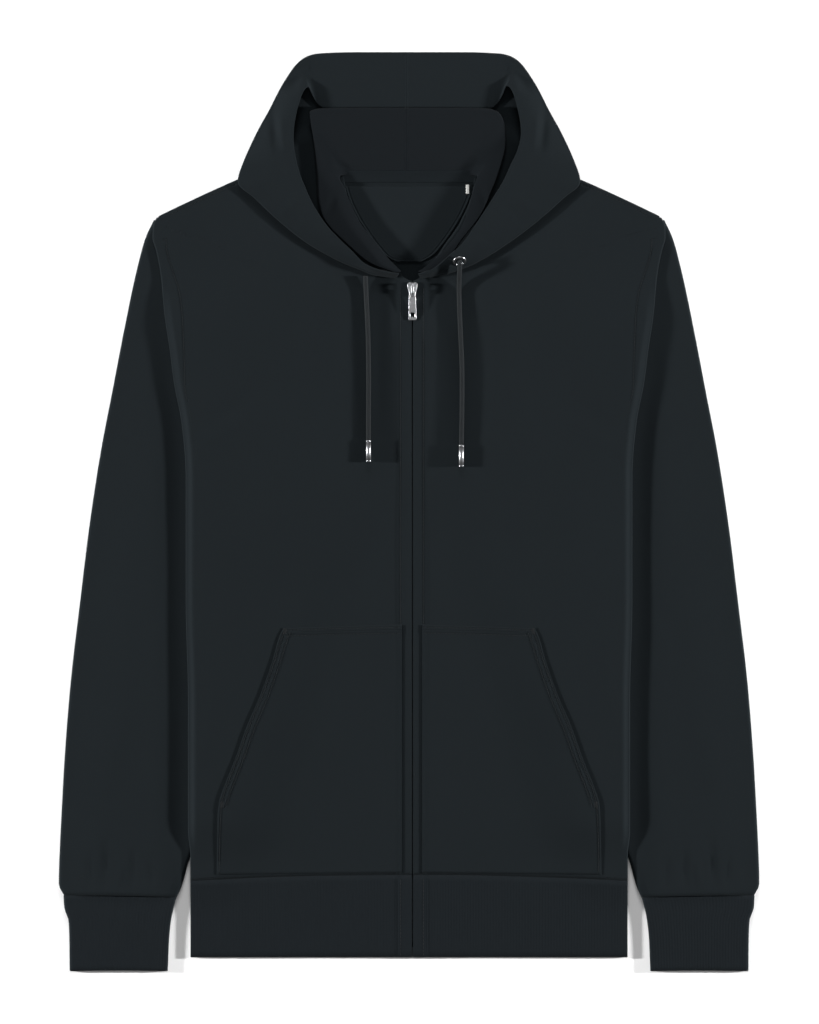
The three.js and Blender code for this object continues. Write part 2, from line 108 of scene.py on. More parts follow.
# Outline: [y, distance from the centre], from the hem up
FOLD = [
    (-385, 189), (-298, 189), (-276, 191), (-163, 191), (-77, 193), (27, 193), (79, 197), (110, 203),
    (141, 207), (167, 211), (207, 215), (227, 219), (236, 221.6), (248, 221), (254, 218),
]
SLEEVE_INNER = [
    (-397, 210), (-333, 202), (-314, 195), (-292, 189), (-250, 172), (-206, 161), (-154, 142),
    (-111, 127), (-77, 113), (-16, 94), (36, 79), (96, 65), (138, 61),
]
SHOULDER = [(64, 321), (148, 287), (220, 253)]
ARMHOLE = [
    (97, 195.5), (102, 197), (128, 198), (154, 199), (172, 200), (192, 203), (207, 208), (224, 213),
    (237, 214),
]

# Creases: [x, y, heading in degrees, length, half width, height], a trough where the height is negative
FRONT_CREASES = [
    (-63, 122, 88, 170, 9, -0.55), (-47, 118, 91, 150, 6, 0.4), (-26, 125, 90, 165, 8, -0.45),
    (24, 120, 90, 170, 8, -0.5), (66, 118, 87, 160, 10, -0.5), (84, 126, 93, 120, 8, 0.35),
    (-150, 92, 38, 90, 9, -0.5), (-166, 66, 30, 70, 7, 0.4), (152, 88, 140, 84, 9, -0.5),
    (168, 60, 152, 66, 7, 0.4), (-120, -20, 100, 120, 14, 0.35), (104, -44, 82, 140, 15, 0.35),
    (-60, -60, 8, 110, 12, -0.3), (70, -18, 172, 96, 11, -0.3), (-172, -180, 84, 110, 8, 0.4),
    (174, -150, 95, 130, 8, 0.4), (-100, 210, 150, 60, 9, -0.4), (110, 208, 28, 66, 9, -0.4),
    (-98, -206, 66, 90, 10, 0.3), (104, -220, 118, 84, 10, 0.3), (-52, -262, 96, 60, 8, 0.25),
]
BACK_CREASES = [
    (-52, 150, 70, 150, 10, -0.3), (64, 118, 112, 130, 10, -0.3), (-30, -40, 96, 180, 12, -0.3),
    (44, -80, 84, 160, 12, -0.3), (-86, 40, 60, 90, 9, -0.3), (92, 10, 118, 100, 9, -0.3),
]
SLEEVE_CREASES = [
    (-262, -40, 74, 150, 8, -0.5), (-246, 60, 70, 120, 9, 0.4), (-284, -150, 84, 130, 7, -0.45),
    (-248, -180, 80, 140, 10, 0.4), (-262, -303, 88, 52, 4.2, -1.5), (-276, -309, 92, 40, 3.2, -1.2),
    (-238, -307, 90, 46, 3.8, -1.3), (-222, -311, 96, 34, 3, -1), (-291, -307, 96, 40, 3, -1),
    (-250, -313, 86, 30, 3, 0.9), (-224, -96, 66, 90, 9, -0.35), (-248, -327.5, 1, 80, 1.7, 0.7),
]
HOOD_CREASES = [
    (-116, 327, 96, 52, 4.5, -0.9), (-108, 322, 98, 46, 3.5, 0.6), (-96, 252, 44, 46, 5, -0.7),
    (-120, 292, 70, 40, 7, 0.5), (-66, 236, 36, 34, 4, -0.5), (-86, 384, 100, 26, 3, -0.8),
    (-40, 374, 4, 70, 5, 0.35), (-130, 306, 20, 30, 6, -0.4), (-22, 386, 176, 40, 4, -0.3),
    (-95, 377, 58, 46, 8, -2.4), (-117, 338, 97, 60, 5, -0.6), (-104, 262, 43, 50, 5, 0.8),
]
LINING_CREASES = [
    (-66, 342, 168, 34, 3.2, -0.7), (-58, 333, 160, 26, 3, 0.4), (-55, 298, 172, 24, 2.6, -0.7),
    (-30, 322, 92, 36, 6, -0.4), (-66, 268, 62, 40, 5, -0.5),
]


def table(rows, at):
    """The value of a table of pairs at a point, by straight lines between its rows."""
    xs, ys = zip(*rows)
    return np.interp(at, xs, ys)


def smooth(value, low, high):
    """0 below low and 1 above high, with an even S between."""
    t = np.clip((np.asarray(value, float) - low) / (high - low), 0, 1)
    return t * t * (3 - 2 * t)


def curve_through(xs, ys, at):
    """A cubic through the points (xs, ys) that never swings past them."""
    xs, ys = np.asarray(xs, float), np.asarray(ys, float)
    run, rise = np.diff(xs), np.diff(ys)
    slope = rise / run
    tangent = np.concatenate([[slope[0]], (slope[1:] + slope[:-1]) / 2, [slope[-1]]])
    turns = slope[1:] * slope[:-1] <= 0
    tangent[1:-1][turns] = 0
    for i, s in enumerate(slope):
        limit = 3 * abs(s)
        tangent[i] = np.clip(tangent[i], -limit, limit)
        tangent[i + 1] = np.clip(tangent[i + 1], -limit, limit)
    at = np.clip(at, xs[0], xs[-1])
    i = np.clip(np.searchsorted(xs, at, side="right") - 1, 0, len(xs) - 2)
    t = (at - xs[i]) / run[i]
    h00, h10 = 2 * t**3 - 3 * t**2 + 1, t**3 - 2 * t**2 + t
    h01, h11 = 3 * t**2 - 2 * t**3, t**3 - t**2
    return h00 * ys[i] + h10 * run[i] * tangent[i] + h01 * ys[i + 1] + h11 * run[i] * tangent[i + 1]


def fold_x(y):
    """How far the body's side fold lies from the centre, at height y."""
    ys, xs = zip(*FOLD)
    return curve_through(ys, xs, y)


def shoulder_y(x):
    """Height of the shoulder's edge."""
    return table(SHOULDER, np.abs(x))


def hem_y(x):
    """Height of the seam above the waistband, which drops a little toward the sides."""
    return HEM_CENTRE - HEM_DROP * (np.asarray(x) / HEM_SIDE) ** 2


def over_sleeve(x, y):
    """How far inside the sleeve's edge a point lies, by its inner edge or its armhole line."""
    (x0, y0), (x1, y1) = (220, 250), (61, 138)
    below = ((x1 - x0) * (y - y0) - (y1 - y0) * (np.abs(x) - x0)) / math.hypot(x1 - x0, y1 - y0)
    return np.minimum(np.abs(x) - table(SLEEVE_INNER, y), below)


def lift(x, y):
    """How far the body is raised where it lies over a sleeve."""
    slope = smooth(over_sleeve(x, y), -LIFT_EARLY - LIFT_RUN, -LIFT_EARLY)
    return SLEEVE_LIFT * slope * smooth(y, -350, -310)


def zip_ridge(x):
    """How far the fronts rise over the zip's tapes."""
    return RIDGE * (1 - smooth(np.abs(x - ZIP_X), RIDGE_HALF, RIDGE_HALF + RIDGE_RUN))


def creased(rows, x, y, mirror=1):
    """The sum of the creases' heights at points (x, y); each fades out along and across."""
    total = np.zeros(np.broadcast(x, y).shape)
    for cx, cy, heading, length, half, height in rows:
        angle = math.radians(heading)
        dx, dy = x - mirror * cx, y - cy
        dx = dx * mirror
        along = dx * math.cos(angle) + dy * math.sin(angle)
        across = -dx * math.sin(angle) + dy * math.cos(angle)
        across = across + 0.06 * half * np.sin(along / (0.21 * length) + cx)
        reach = np.clip(np.abs(along) / (length / 2), 0, 1)
        total = total + height * np.exp(-((across / half) ** 2) * 1.6) * (1 - reach**2) ** 2
    return total


def settle(x, y):
    """The slow unevenness of cloth that was smoothed flat by hand."""
    return 0.16 * np.sin(x / 37 + 0.8 * np.sin(y / 61)) * np.sin(y / 48 + 1.3) + 0.1 * np.sin(x / 17 + y / 29)


def side_roll(x, y):
    """The cloth folded under at each side holds the front up: steep at the fold, long and low inward."""
    inside = fold_x(y) - np.abs(x)
    swell = SIDE_RISE + 0.3 * np.sin(y / 64 + 0.6 * np.sign(x)) + 0.15 * np.sin(y / 27)
    swell = swell * smooth(inside, 1.4, 6.5) * (1 - smooth(inside, 7, 130))
    return swell * smooth(y, -306, -262) * smooth(-y, -222, -150)


def front_top(x, y):
    """Height of the top of the fronts."""
    rise = creased(FRONT_CREASES, x, y) + settle(x, y)
    return lift(x, y) + PLY + side_roll(x, y) + zip_ridge(x) + rise * smooth(np.abs(x - ZIP_X), 4, 30)


class Value:
    """A socket of a shader, so that sums on it read as sums."""

    def __init__(self, shader, socket):
        self.shader = shader
        self.socket = socket

    def of(self, operation, *others):
        return self.shader.node("ShaderNodeMath", {"operation": operation}, dict(enumerate((self, *others))))

    def __add__(self, other):
        return self.of("ADD", other)

    def __sub__(self, other):
        return self.of("SUBTRACT", other)

    def __mul__(self, other):
        return self.of("MULTIPLY", other)

    def __truediv__(self, other):
        return self.of("DIVIDE", other)

    def __pow__(self, other):
        return self.of("POWER", other)

    def __neg__(self):
        return self * -1

    def __rsub__(self, other):
        return -self + other

    def __rtruediv__(self, other):
        return self**-1 * other

    __radd__ = __add__
    __rmul__ = __mul__


class Shader:
    """A material with one Principled shader, built up node by node."""

    def __init__(self, name, **constants):
        self.material = bpy.data.materials.new(name)
        self.material.use_nodes = True
        self.tree = self.material.node_tree
        self.surface = self.tree.nodes["Principled BSDF"]
        for key, value in constants.items():
            self.surface.inputs[key.replace("_", " ").title().replace("Ior", "IOR")].default_value = value

    def node(self, kind, settings, inputs, output=0):
        made = self.tree.nodes.new(kind)
        for key, value in settings.items():
            setattr(made, key, value)
        for key, value in inputs.items():
            if isinstance(value, Value):
                self.tree.links.new(value.socket, made.inputs[key])
            else:
                made.inputs[key].default_value = value
        return Value(self, made.outputs[output])

    def flat(self, axis):
        """How far along the cloth a point lies, in millimetres: axis 0 is across, 1 is up."""
        uv = self.node("ShaderNodeUVMap", {"uv_map": "cloth"}, {})
        return self.node("ShaderNodeSeparateXYZ", {}, {0: uv}, axis) * 1000

    def noise(self, at, scale, detail=3, rough=0.55):
        settings = {"noise_dimensions": "3D"}
        return self.node("ShaderNodeTexNoise", settings, {0: at, 2: scale, 3: detail, 4: rough})

    def place(self):
        return self.node("ShaderNodeNewGeometry", {}, {}, 0)

    def mix(self, factor, a, b):
        return self.node("ShaderNodeMix", {"data_type": "RGBA"}, {0: factor, 6: a, 7: b}, 2)

    def feed(self, name, value):
        self.tree.links.new(value.socket, self.surface.inputs[name])

    def bump(self, height, distance, strength=1.0):
        """Raises the surface by height, in parts of distance in metres."""
        self.feed("Normal", self.node("ShaderNodeBump", {}, {0: strength, 1: distance, "Height": height}))


def tint(colour, by):
    """A colour made darker or lighter, with full alpha."""
    return tuple(min(1, c * by) for c in colour[:3]) + (1,)


def knit_height(shader, wale, course):
    """Rows of small V stitches: wales run up the cloth, courses across it."""
    across = shader.flat(0) / wale
    leg = (across * 2 * math.pi).of("COSINE") * 0.5 + 0.5
    slant = (across * 2 * math.pi).of("SINE").of("ABSOLUTE") * 0.5
    up = (shader.flat(1) / course + slant) * 2 * math.pi
    return leg.of("POWER", 0.7) * 0.6 + (up.of("SINE") * 0.5 + 0.5) * leg * 0.4


def seam_height(shader):
    """A groove along each line of stitches, with small puckers beside it."""
    away = shader.node("ShaderNodeAttribute", {"attribute_name": "seam"}, {}, 2)
    groove = ((away / 0.9) ** 2 * -1).of("EXPONENT")
    pucker = shader.noise(shader.place(), 330, 1)
    near = ((away.of("ABSOLUTE") / 3.4) ** 2 * -1).of("EXPONENT")
    return groove * -1 + near * (pucker - 0.5) * 0.9


def knit_material(name, colour, seen, rough=0.93, sheen=0.015, wale=1.05, course=0.8, depth=0.00006):
    """Jersey: uneven dye, a painted highlight where the fine grain stands up, a fine knit and, where seen is
    true, its seams.
    """
    shader = Shader(name, sheen_weight=sheen, sheen_roughness=0.6, specular_ior_level=0.088)
    broad = shader.noise(shader.place(), 9, 3)
    fine = shader.noise(shader.place(), 240, 3)
    lint = shader.noise(shader.place(), 900, 1)
    # Painted highlight: the fine noise that raises the bump also lightens the colour; broad and lint are
    # uneven dye.
    shade = broad * 0.16 + fine * 0.12 + lint * 0.1 + 0.81
    shade = shade.of("MULTIPLY_ADD", 1.6, -1.1)
    shader.feed("Base Color", shader.mix(shade, tint(colour, 0.82), tint(colour, 1.2)))
    shader.feed("Roughness", fine * 0.1 + (rough - 0.05))
    height = knit_height(shader, wale, course) * 0.55 + fine * 0.5
    if seen:
        height = height + seam_height(shader) * 5
    shader.bump(height, depth)
    return shader.material


def thread_material(name, colour):
    """Sewing thread: twisted plies, with a painted highlight where they stand up."""
    shader = Shader(name, specular_ior_level=0.26)
    ply = (shader.noise(shader.place(), 1400, 2) - 0.5) * 0.8 + 0.5
    # Painted highlight: the ply noise that raises the bump also lightens the colour.
    shader.feed("Base Color", shader.mix(ply, tint(colour, 0.75), tint(colour, 1.3)))
    shader.feed("Roughness", ply * 0.2 + 0.6)
    shader.bump(ply, 0.00005)
    return shader.material


def metal_material(name, colour, rough=0.28):
    """Plated metal: satin, with fine scratches, and duller where it is handled."""
    shader = Shader(name)
    scuffs = shader.noise(shader.place(), 260, 4, 0.65)
    streaks = shader.node("ShaderNodeMapping", {}, {0: shader.place(), 3: (3000, 220, 900)})
    fine = shader.noise(streaks, 1, 2)
    shader.surface.inputs["Metallic"].default_value = 1
    shader.feed("Base Color", shader.mix(scuffs, tint(colour, 0.84), tint(colour, 1.06)))
    shader.feed("Roughness", scuffs * 0.16 + fine * 0.1 + (rough - 0.12))
    shader.bump(fine * 0.5 + scuffs * 0.5, 0.00003)
    return shader.material


def distances(x, y, lines):
    """Signed distance from points to the nearest of the lines, each a run of [x, y] points."""
    best = np.full(np.broadcast(x, y).shape, FAR)
    for line in lines:
        for (x0, y0), (x1, y1) in zip(line[:-1], line[1:]):
            dx, dy = x1 - x0, y1 - y0
            t = np.clip(((x - x0) * dx + (y - y0) * dy) / (dx * dx + dy * dy), 0, 1)
            away = np.hypot(x - x0 - t * dx, y - y0 - t * dy)
            side = np.sign(dx * (y - y0) - dy * (x - x0))
            best = np.where(away < np.abs(best), away * np.where(side == 0, 1, side), best)
    return best


def arc(grid, axis):
    """Distance along a grid of points: axis 0 from row to row, axis 1 from column to column."""
    step = np.linalg.norm(np.diff(grid, axis=axis), axis=2)
    return np.pad(np.cumsum(step, axis=axis), [(1, 0), (0, 0)] if axis == 0 else [(0, 0), (1, 0)])


def finish(mesh, name, material, body=BODY, nodes=None):
    """Makes the object, hands it to its body and lets it stand for its solids."""
    made = bpy.data.objects.new(name, mesh)
    bpy.context.scene.collection.objects.link(made)
    mesh.materials.append(material)
    mesh.polygons.foreach_set("use_smooth", [True] * len(mesh.polygons))
    mesh.update()
    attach(made, body)
    if nodes:
        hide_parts(*nodes)
    return made


def mesh_of(name, points, faces, uv=None):
    """A mesh from points in millimetres; uv holds one pair for each corner of each face."""
    mesh = bpy.data.meshes.new(name)
    mesh.from_pydata((np.asarray(points) * MM).tolist(), [], [list(map(int, f)) for f in faces])
    layer = mesh.uv_layers.new(name="cloth")
    if uv is not None:
        layer.data.foreach_set("uv", (np.asarray(uv) * MM).ravel())
    return mesh


def wall(name, grid, thick, facing, ring=False, seam=None, rim=0.22):
    """A closed wall of cloth with round rims: grid is its outer face, and its inner face lies thick below."""
    grid = np.asarray(grid, float)
    rows, cols = grid.shape[:2]
    if ring:
        across = np.roll(grid, -1, 1) - np.roll(grid, 1, 1)
    else:
        across = np.gradient(grid, axis=1)
    normal = np.cross(across, np.gradient(grid, axis=0)) * facing
    normal /= np.linalg.norm(normal, axis=2, keepdims=True)
    inner = grid - normal * thick
    closed = np.concatenate([grid, grid[:, :1]], 1) if ring else grid
    flat = np.stack([arc(closed, 1), arc(closed, 0)], 2)
    r, c = np.meshgrid(np.arange(rows - 1), np.arange(closed.shape[1] - 1), indexing="ij")
    corners = np.stack([np.stack([r + a, c + b], 2) for a, b in ((0, 0), (0, 1), (1, 1), (1, 0))], 2)
    corners = corners.reshape(-1, 4, 2)
    outer = corners[..., 0] * cols + corners[..., 1] % cols
    uv = flat[corners[..., 0], corners[..., 1]]
    under = rows * cols
    points = [grid.reshape(-1, 3), inner.reshape(-1, 3)]
    faces, uvs = [outer, outer[:, ::-1] + under], [uv, uv[:, ::-1]]
    last = cols - 1
    if ring:
        loops = [[(0, c) for c in range(cols)], [(rows - 1, c) for c in range(last, -1, -1)]]
    else:
        loop = [(0, c) for c in range(cols)] + [(r, last) for r in range(1, rows)]
        loop += [(rows - 1, c) for c in range(last - 1, -1, -1)] + [(r, 0) for r in range(rows - 2, 0, -1)]
        loops = [loop]
    start = 2 * under
    for loop in loops:
        at = np.array(loop)
        inward = at.copy()
        inward[:, 0] = np.clip(inward[:, 0], 1, rows - 2)
        if not ring:
            inward[:, 1] = np.clip(inward[:, 1], 1, cols - 2)
        out = grid[at[:, 0], at[:, 1]] - grid[inward[:, 0], inward[:, 1]]
        out /= np.linalg.norm(out, axis=1, keepdims=True)
        middle = (grid[at[:, 0], at[:, 1]] + inner[at[:, 0], at[:, 1]]) / 2 + out * rim * thick
        points.append(middle)
        a = at[:, 0] * cols + at[:, 1]
        m = start + np.arange(len(a))
        b, n = np.roll(a, -1), np.roll(m, -1)
        faces += [np.stack([b, a, m, n], 1), np.stack([n, m, a + under, b + under], 1)]
        edge = flat[at[:, 0], at[:, 1]]
        ahead = np.roll(edge, -1, 0)
        uvs += [np.stack([ahead, edge, edge, ahead], 1)] * 2
        start += len(a)
    faces, uvs = np.concatenate(faces), np.concatenate(uvs)
    if facing < 0:
        faces, uvs = faces[:, ::-1], uvs[:, ::-1]
    points = np.concatenate(points)
    mesh = mesh_of(name, points, faces, uvs)
    away = np.full(len(points), FAR)
    if seam is not None:
        away[:under] = np.asarray(seam, float).ravel()
    mesh.attributes.new("seam", "FLOAT", "POINT").data.foreach_set("value", away)
    return mesh


def spread(x, y, z):
    """A grid of points from columns, rows or grids of coordinates."""
    return np.stack(np.broadcast_arrays(x, y, z), 2)


def sidewards(side, distance):
    """The x at a distance from the zip, which lies off the centre; the shift fades out within 60 mm."""
    return side * distance + ZIP_X * np.maximum(0, 1 - distance / 60)


TOP_AT = [0, 0.046, 0.08, 0.16, 0.25, 0.34, 0.43, 0.52, 0.61, 0.7, 0.8, 0.9, 1]
NECK = [
    (0.8, 199), (7, 202), (12, 208.5), (22, 220), (30, 232), (43, 250), (54, 274), (64, 321), (90, 310.5),
    (118, 299), (150, 286), (184, 270.5), (216.3, 255),
]


def front_grid(side):
    """One front: from the zip across the top, round the side fold and back to the side seam."""
    share = np.linspace(0, 1, 190)[:, None]
    part = np.linspace(0, 1, 88)[None, :] ** 1.12
    neck_d = curve_through(TOP_AT, [d for d, _ in NECK], part)
    neck_y = curve_through(TOP_AT, [y for _, y in NECK], part)
    low = HEM_CENTRE - HEM_DROP * part**2
    edge = fold_x(low + (neck_y - low) * share) - BEND
    at_neck = (neck_d - ZIP_HALF) / (NECK[-1][0] - ZIP_HALF)
    part = part + (at_neck - part) * smooth(share, 0.55, 1)
    x = sidewards(side, ZIP_HALF + (edge - ZIP_HALF) * part)
    y = hem_y(x) + (neck_y - hem_y(x)) * share
    calm = smooth(fold_x(y) - np.abs(x), 1.5, 9) * smooth(share, 0, 0.02)
    still = lift(x, y) + PLY + side_roll(x, y) + zip_ridge(x)
    z = still + (front_top(x, y) - still) * calm
    top = spread(x, y, z)
    turn = np.radians(np.linspace(0, 180, 15))[None, 1:]
    run = np.concatenate([np.zeros(14), np.linspace(0, WRAP, 22)[1:]])[None, :]
    turn = np.concatenate([turn, np.full((1, 21), np.pi)], 1)
    y = hem_y(HEM_SIDE - run)
    y = y + (shoulder_y(218 - run) - y) * share
    edge = fold_x(y) - BEND
    x = edge + BEND * np.sin(turn) - run
    under = lift(edge - run, y) + BEND + BEND * np.cos(turn)
    fade = smooth(run, 3, 14)
    under = under + np.abs(creased(BACK_CREASES, side * x + 0 * y, y)) * fade * 0.6
    fold = spread(side * x, y, under)
    return np.concatenate([top, fold], 1)


def back_grid():
    """The back, from one side seam to the other; it dips at the middle of the neck."""
    share = np.linspace(0, 1, 130)[:, None]
    across = np.linspace(-1, 1, 100)[None, :]
    top_x = across * 152.7
    neck = 288 + 33 * np.clip(np.abs(top_x) / NECK_X, 0, 1) ** 6
    top_y = np.where(np.abs(top_x) < NECK_X, neck, shoulder_y(top_x))
    x = across * (fold_x(HEM_CENTRE + (top_y - HEM_CENTRE) * share) - WRAP - 2)
    y = hem_y(x) + (top_y - hem_y(x)) * share
    edge = smooth(1 - np.abs(across), 0, 0.08) * smooth(share, 0, 0.03) * smooth(1 - share, 0, 0.05)
    z = lift(x, y) + 0.25 * smooth(share, 0.97, 1) + np.abs(creased(BACK_CREASES, x, y)) * edge
    return spread(x, y, z)


SLEEVE = [
    (219.5, 251.5, 61, 142), (227, 235, 63, 117), (234, 209, 65, 96), (245, 157, 79, 40), (255, 105, 92, -10),
    (265, 53, 104, -48), (275, -12, 119, -92), (283, -77, 133, -130), (291, -145, 150, -178),
    (296, -206, 164, -218), (299, -258, 179, -268), (301, -300, 192, -303), (301.5, -322, 198, -324),
    (297, -331.5, 202, -333),
]
CUFF = [
    (297.4, -331.9, 202.5, -333.4), (296.6, -343, 206, -347), (293, -354, 208, -360), (292, -397, 210, -397),
]


def drawn_out(rows, count):
    """Many rows from a few, by smooth curves through each column of the table."""
    rows = np.asarray(rows, float)
    step = np.linalg.norm(np.diff(rows, axis=0), axis=1)
    at = np.concatenate([[0], np.cumsum(step)])
    fine = np.linspace(0, at[-1], count)
    return np.stack([curve_through(at, rows[:, k], fine) for k in range(rows.shape[1])], 1)


def flattened(rows, side, top, turn, rib=0.0, ribs=0, swell=0.0, creases=()):
    """A tube laid flat, ring by ring: top columns across each face and turn round each edge."""
    out_x, out_y, in_x, in_y = (rows[:, k][:, None] for k in range(4))
    width = np.hypot(out_x - in_x, out_y - in_y)
    share = np.linspace(0, 1, top)
    angle = np.linspace(0, np.pi, turn + 2)[1:-1]
    s = np.concatenate([share, np.ones(turn), share[::-1], np.zeros(turn)])[None, :]
    push = np.concatenate([0 * share, np.sin(angle), 0 * share, -np.sin(angle)])[None, :]
    rise = np.concatenate([0 * share + 1, np.cos(angle), 0 * share - 1, -np.cos(angle)])[None, :]
    bulk = BEND
    if ribs:
        phase = np.concatenate([share, 1 + 0.03 * angle, 2.1 - share, 2.1 + 0.03 * angle])[None, :] / 2.2
        bulk = BEND + rib * np.cos(2 * np.pi * ribs * phase)
    flat = (BEND + (width - 2 * BEND) * s + push * bulk) / width
    x = in_x + (out_x - in_x) * flat
    sag = 1.2 * np.sin(np.pi * np.clip(flat, 0, 1)) * np.linspace(1, 0.4, len(rows))[:, None]
    y = in_y + (out_y - in_y) * flat + sag
    clear = smooth(x - fold_x(y), 3, 30)
    z = BEND + rise * bulk
    upper = np.clip(rise, 0, 1) * clear * smooth(1 - s, 0, 0.3) * smooth(s, 0, 0.05)
    z = z + upper * (swell + creased(creases, side * x, y) + 0.8 * settle(x * 1.3, y))
    return spread(side * x, y, z)


def mirrored(rows):
    """Creases listed for the left side, turned over for the right."""
    return [(-x, y, 180 - heading, length, half, height) for x, y, heading, length, half, height in rows]


def band_grid():
    """The waistband: one ribbed strip from zip edge to zip edge, round both side folds."""
    reach = HEM_SIDE - BEND
    flat, turn = reach - ZIP_HALF, np.pi * BEND
    total = 2 * flat + 2 * turn + 2 * reach
    ribs = round(total / RIB_PITCH)
    t = np.linspace(0, total, ribs * 6 + 1)[None, :]
    marks = np.cumsum([0, flat, turn, 2 * reach, turn, flat])
    leg = np.clip(np.searchsorted(marks, t, side="right") - 1, 0, 4)
    past = t - marks[leg]
    angle = past / BEND
    bow = BEND * np.sin(angle)
    x = np.select(
        [leg == 0, leg == 1, leg == 2, leg == 3],
        [sidewards(1, ZIP_HALF + past), reach + bow, reach - past, -reach - bow],
        sidewards(-1, reach - past),
    )
    upper = np.select([leg == 1, leg == 2, leg == 3], [np.cos(angle), -1 + 0 * t, -np.cos(angle)], 1 + 0 * t)
    outward = np.select([leg == 1, leg == 3], [np.sin(angle), -np.sin(angle)], 0 * t)
    share = np.linspace(0, 1, 15)[:, None]
    y = hem_y(x) - SEAM_GAP + (BAND_END - hem_y(x) + SEAM_GAP) * share
    rib = BAND_RIB * np.cos(2 * np.pi * ribs * t / total) * smooth(np.abs(x - ZIP_X), 9, 11)
    rib = rib * smooth(share, 0, 0.06) * (1 - 0.5 * smooth(share, 0.93, 1))
    wave = 0.25 * np.sin(x / 23 + share * 1.4) * (upper > 0.9) * smooth(np.abs(x - ZIP_X), 6, 40)
    wave = wave * smooth(reach - np.abs(x), 0, 30)
    rise = np.clip(upper, 0, 1) * (zip_ridge(x) * (leg != 2) + wave)
    z = lift(x, y) + BEND + upper * (BEND + rib) + rise
    return spread(x + outward * rib, y, z)


POCKET = [
    (-312, 166), (-285, 165.5), (-252, 164), (-239, 160), (-214, 150), (-186, 140), (-158, 128), (-130, 118),
    (-104, 110), (-101, 108),
]
OPENING = [
    (108, -101), (110, -104), (118, -130), (128, -158), (140, -186), (150, -214), (160, -239), (164, -252),
]
POCKET_SIDE = [(164, -252), (165.5, -285), (166, -312)]


def pocket_height(x, y):
    """Top of a pocket half: it follows the front, and its turned edges are thicker."""
    near = np.abs(x - ZIP_X * np.maximum(0, 1 - np.abs(x) / 60))
    away = np.minimum(np.abs(distances(near, y, [OPENING])), -98 - y)
    turned = 0.2 * (1 - smooth(away, 7, 8.4)) * smooth(away, -1, 0.8)
    middle = smooth(near, 14, 50) * smooth(-100 - y, 4, 40) * smooth(y, -310, -270)
    return front_top(x, y) + POCKET_GAP + POCKET_WALL + turned + 0.3 * middle


def pocket_grid(side):
    """One pocket half, from beside the zip to its slanted opening."""
    ys, outer = zip(*POCKET)
    row_y = np.concatenate([np.linspace(-312, -110, 96), np.linspace(-108, -101, 8)])[:, None]
    share = np.linspace(0, 1, 84)[None, :]
    reach = curve_through(ys, outer, row_y)
    x = sidewards(side, 9 + (reach - 9) * share)
    y = row_y + 3 * (1 - share) * smooth(row_y, -112, -101) - 1.5 * share * (1 - smooth(row_y, -311, -298))
    return spread(x, y, pocket_height(x, y))


HOOD = {
    "left": [
        (9, 204.5, 11.6, 12, 201.5, 9.6, 204), (26, 208, 12.6, 30, 204, 27, 207),
        (38, 213, 13.4, 43, 209, 40, 220), (49, 224, 14, 62, 217, 52, 238),
        (69, 244, 14.8, 90, 233, 60, 260), (82, 263, 15, 115, 253, 64, 280),
        (90, 280, 15, 134, 271, 68, 294), (95, 293, 15, 148, 285, 72, 306),
        (99, 310, 15, 142, 305, 74, 318), (100, 325, 14, 132, 327, 76, 328),
        (98, 342, 13, 121, 347, 76, 335), (92, 362, 11, 109, 370, 74, 339),
        (87, 367, 8.5, 98, 386, 71, 341), (79, 352, 3.9, 87, 394, 64, 341),
        (60, 342, 3.9, 68, 396.6, 52, 336), (36, 338, 3.9, 40, 397, 34, 331),
        (2.02, 338, 3.9, 2.02, 397, 2.02, 331),
    ],
    "right": [
        (8, 204.5, 11.6, 11, 201.5, 8.6, 204), (21, 209.5, 12.6, 28, 204, 25, 207),
        (36, 222, 13.4, 50, 211, 42, 223), (46, 231, 14, 66, 219, 54, 240),
        (62, 254, 14.8, 92, 236, 60, 262), (73, 271, 15, 115, 254, 64, 280),
        (82, 286, 15, 134, 271, 68, 294), (88, 299, 15, 148, 285, 72, 306),
        (94, 312, 15, 142, 305, 74, 318), (97, 327, 14, 132, 327, 76, 328),
        (95, 344, 13, 121, 347, 76, 335), (89, 364, 11, 109, 370, 74, 339),
        (84, 368, 8.5, 98, 386, 71, 341), (76, 352, 3.9, 87, 394, 64, 341),
        (58, 342, 3.9, 68, 396.6, 52, 336), (36, 338, 3.9, 40, 397, 34, 331),
        (-1.98, 338, 3.9, -1.98, 397, -1.98, 331),
    ],
}
LINING = {
    "left": [
        (7, 207.5, 8.6, 13, 206, 5.9, 11, 206.7), (19, 219.5, 9, 36, 215.5, 6.3, 30, 217),
        (27, 230, 8.7, 52, 229, 6.6, 44, 230), (42, 249, 8.2, 73, 251, 6.6, 62, 251),
        (50, 265, 7.5, 78.5, 267, 6.6, 68, 267), (56, 280, 6.7, 80, 291, 6.6, 70, 289),
        (60, 288, 6.3, 82, 317, 6.6, 73, 311), (57.5, 291, 5, 86, 345, 6.6, 78, 336),
        (54, 291.5, 3.9, 81, 347.5, 6.3, 74, 338), (48, 291.5, 3.1, 70, 348.5, 6.1, 65, 338),
        (28, 291.5, 3.1, 36, 349, 5.4, 34, 338), (2.02, 291.5, 3.1, 2.02, 349, 5.4, 2.02, 338),
    ],
    "right": [
        (8, 207.5, 8.6, 14, 206.5, 5.9, 12, 207), (17, 213.5, 9, 33, 217, 6.3, 27, 216.5),
        (33, 229, 8.7, 46, 235, 6.6, 41, 232), (47, 249, 8.2, 64, 259, 6.6, 57, 256),
        (52, 265, 7.5, 71, 275, 6.6, 63, 271), (56, 280, 6.7, 78, 293, 6.6, 69, 290),
        (59, 290, 6.3, 84, 320, 6.6, 74, 313), (56.5, 291, 5, 79, 343, 6.6, 73, 335),
        (53, 291.5, 3.9, 73, 347, 6.3, 68, 338), (46, 291.5, 3.1, 60, 348.5, 6.1, 57, 338),
        (26, 291.5, 3.1, 32, 349, 5.4, 31, 338), (-1.98, 291.5, 3.1, -1.98, 349, 5.4, -1.98, 338),
    ],
}


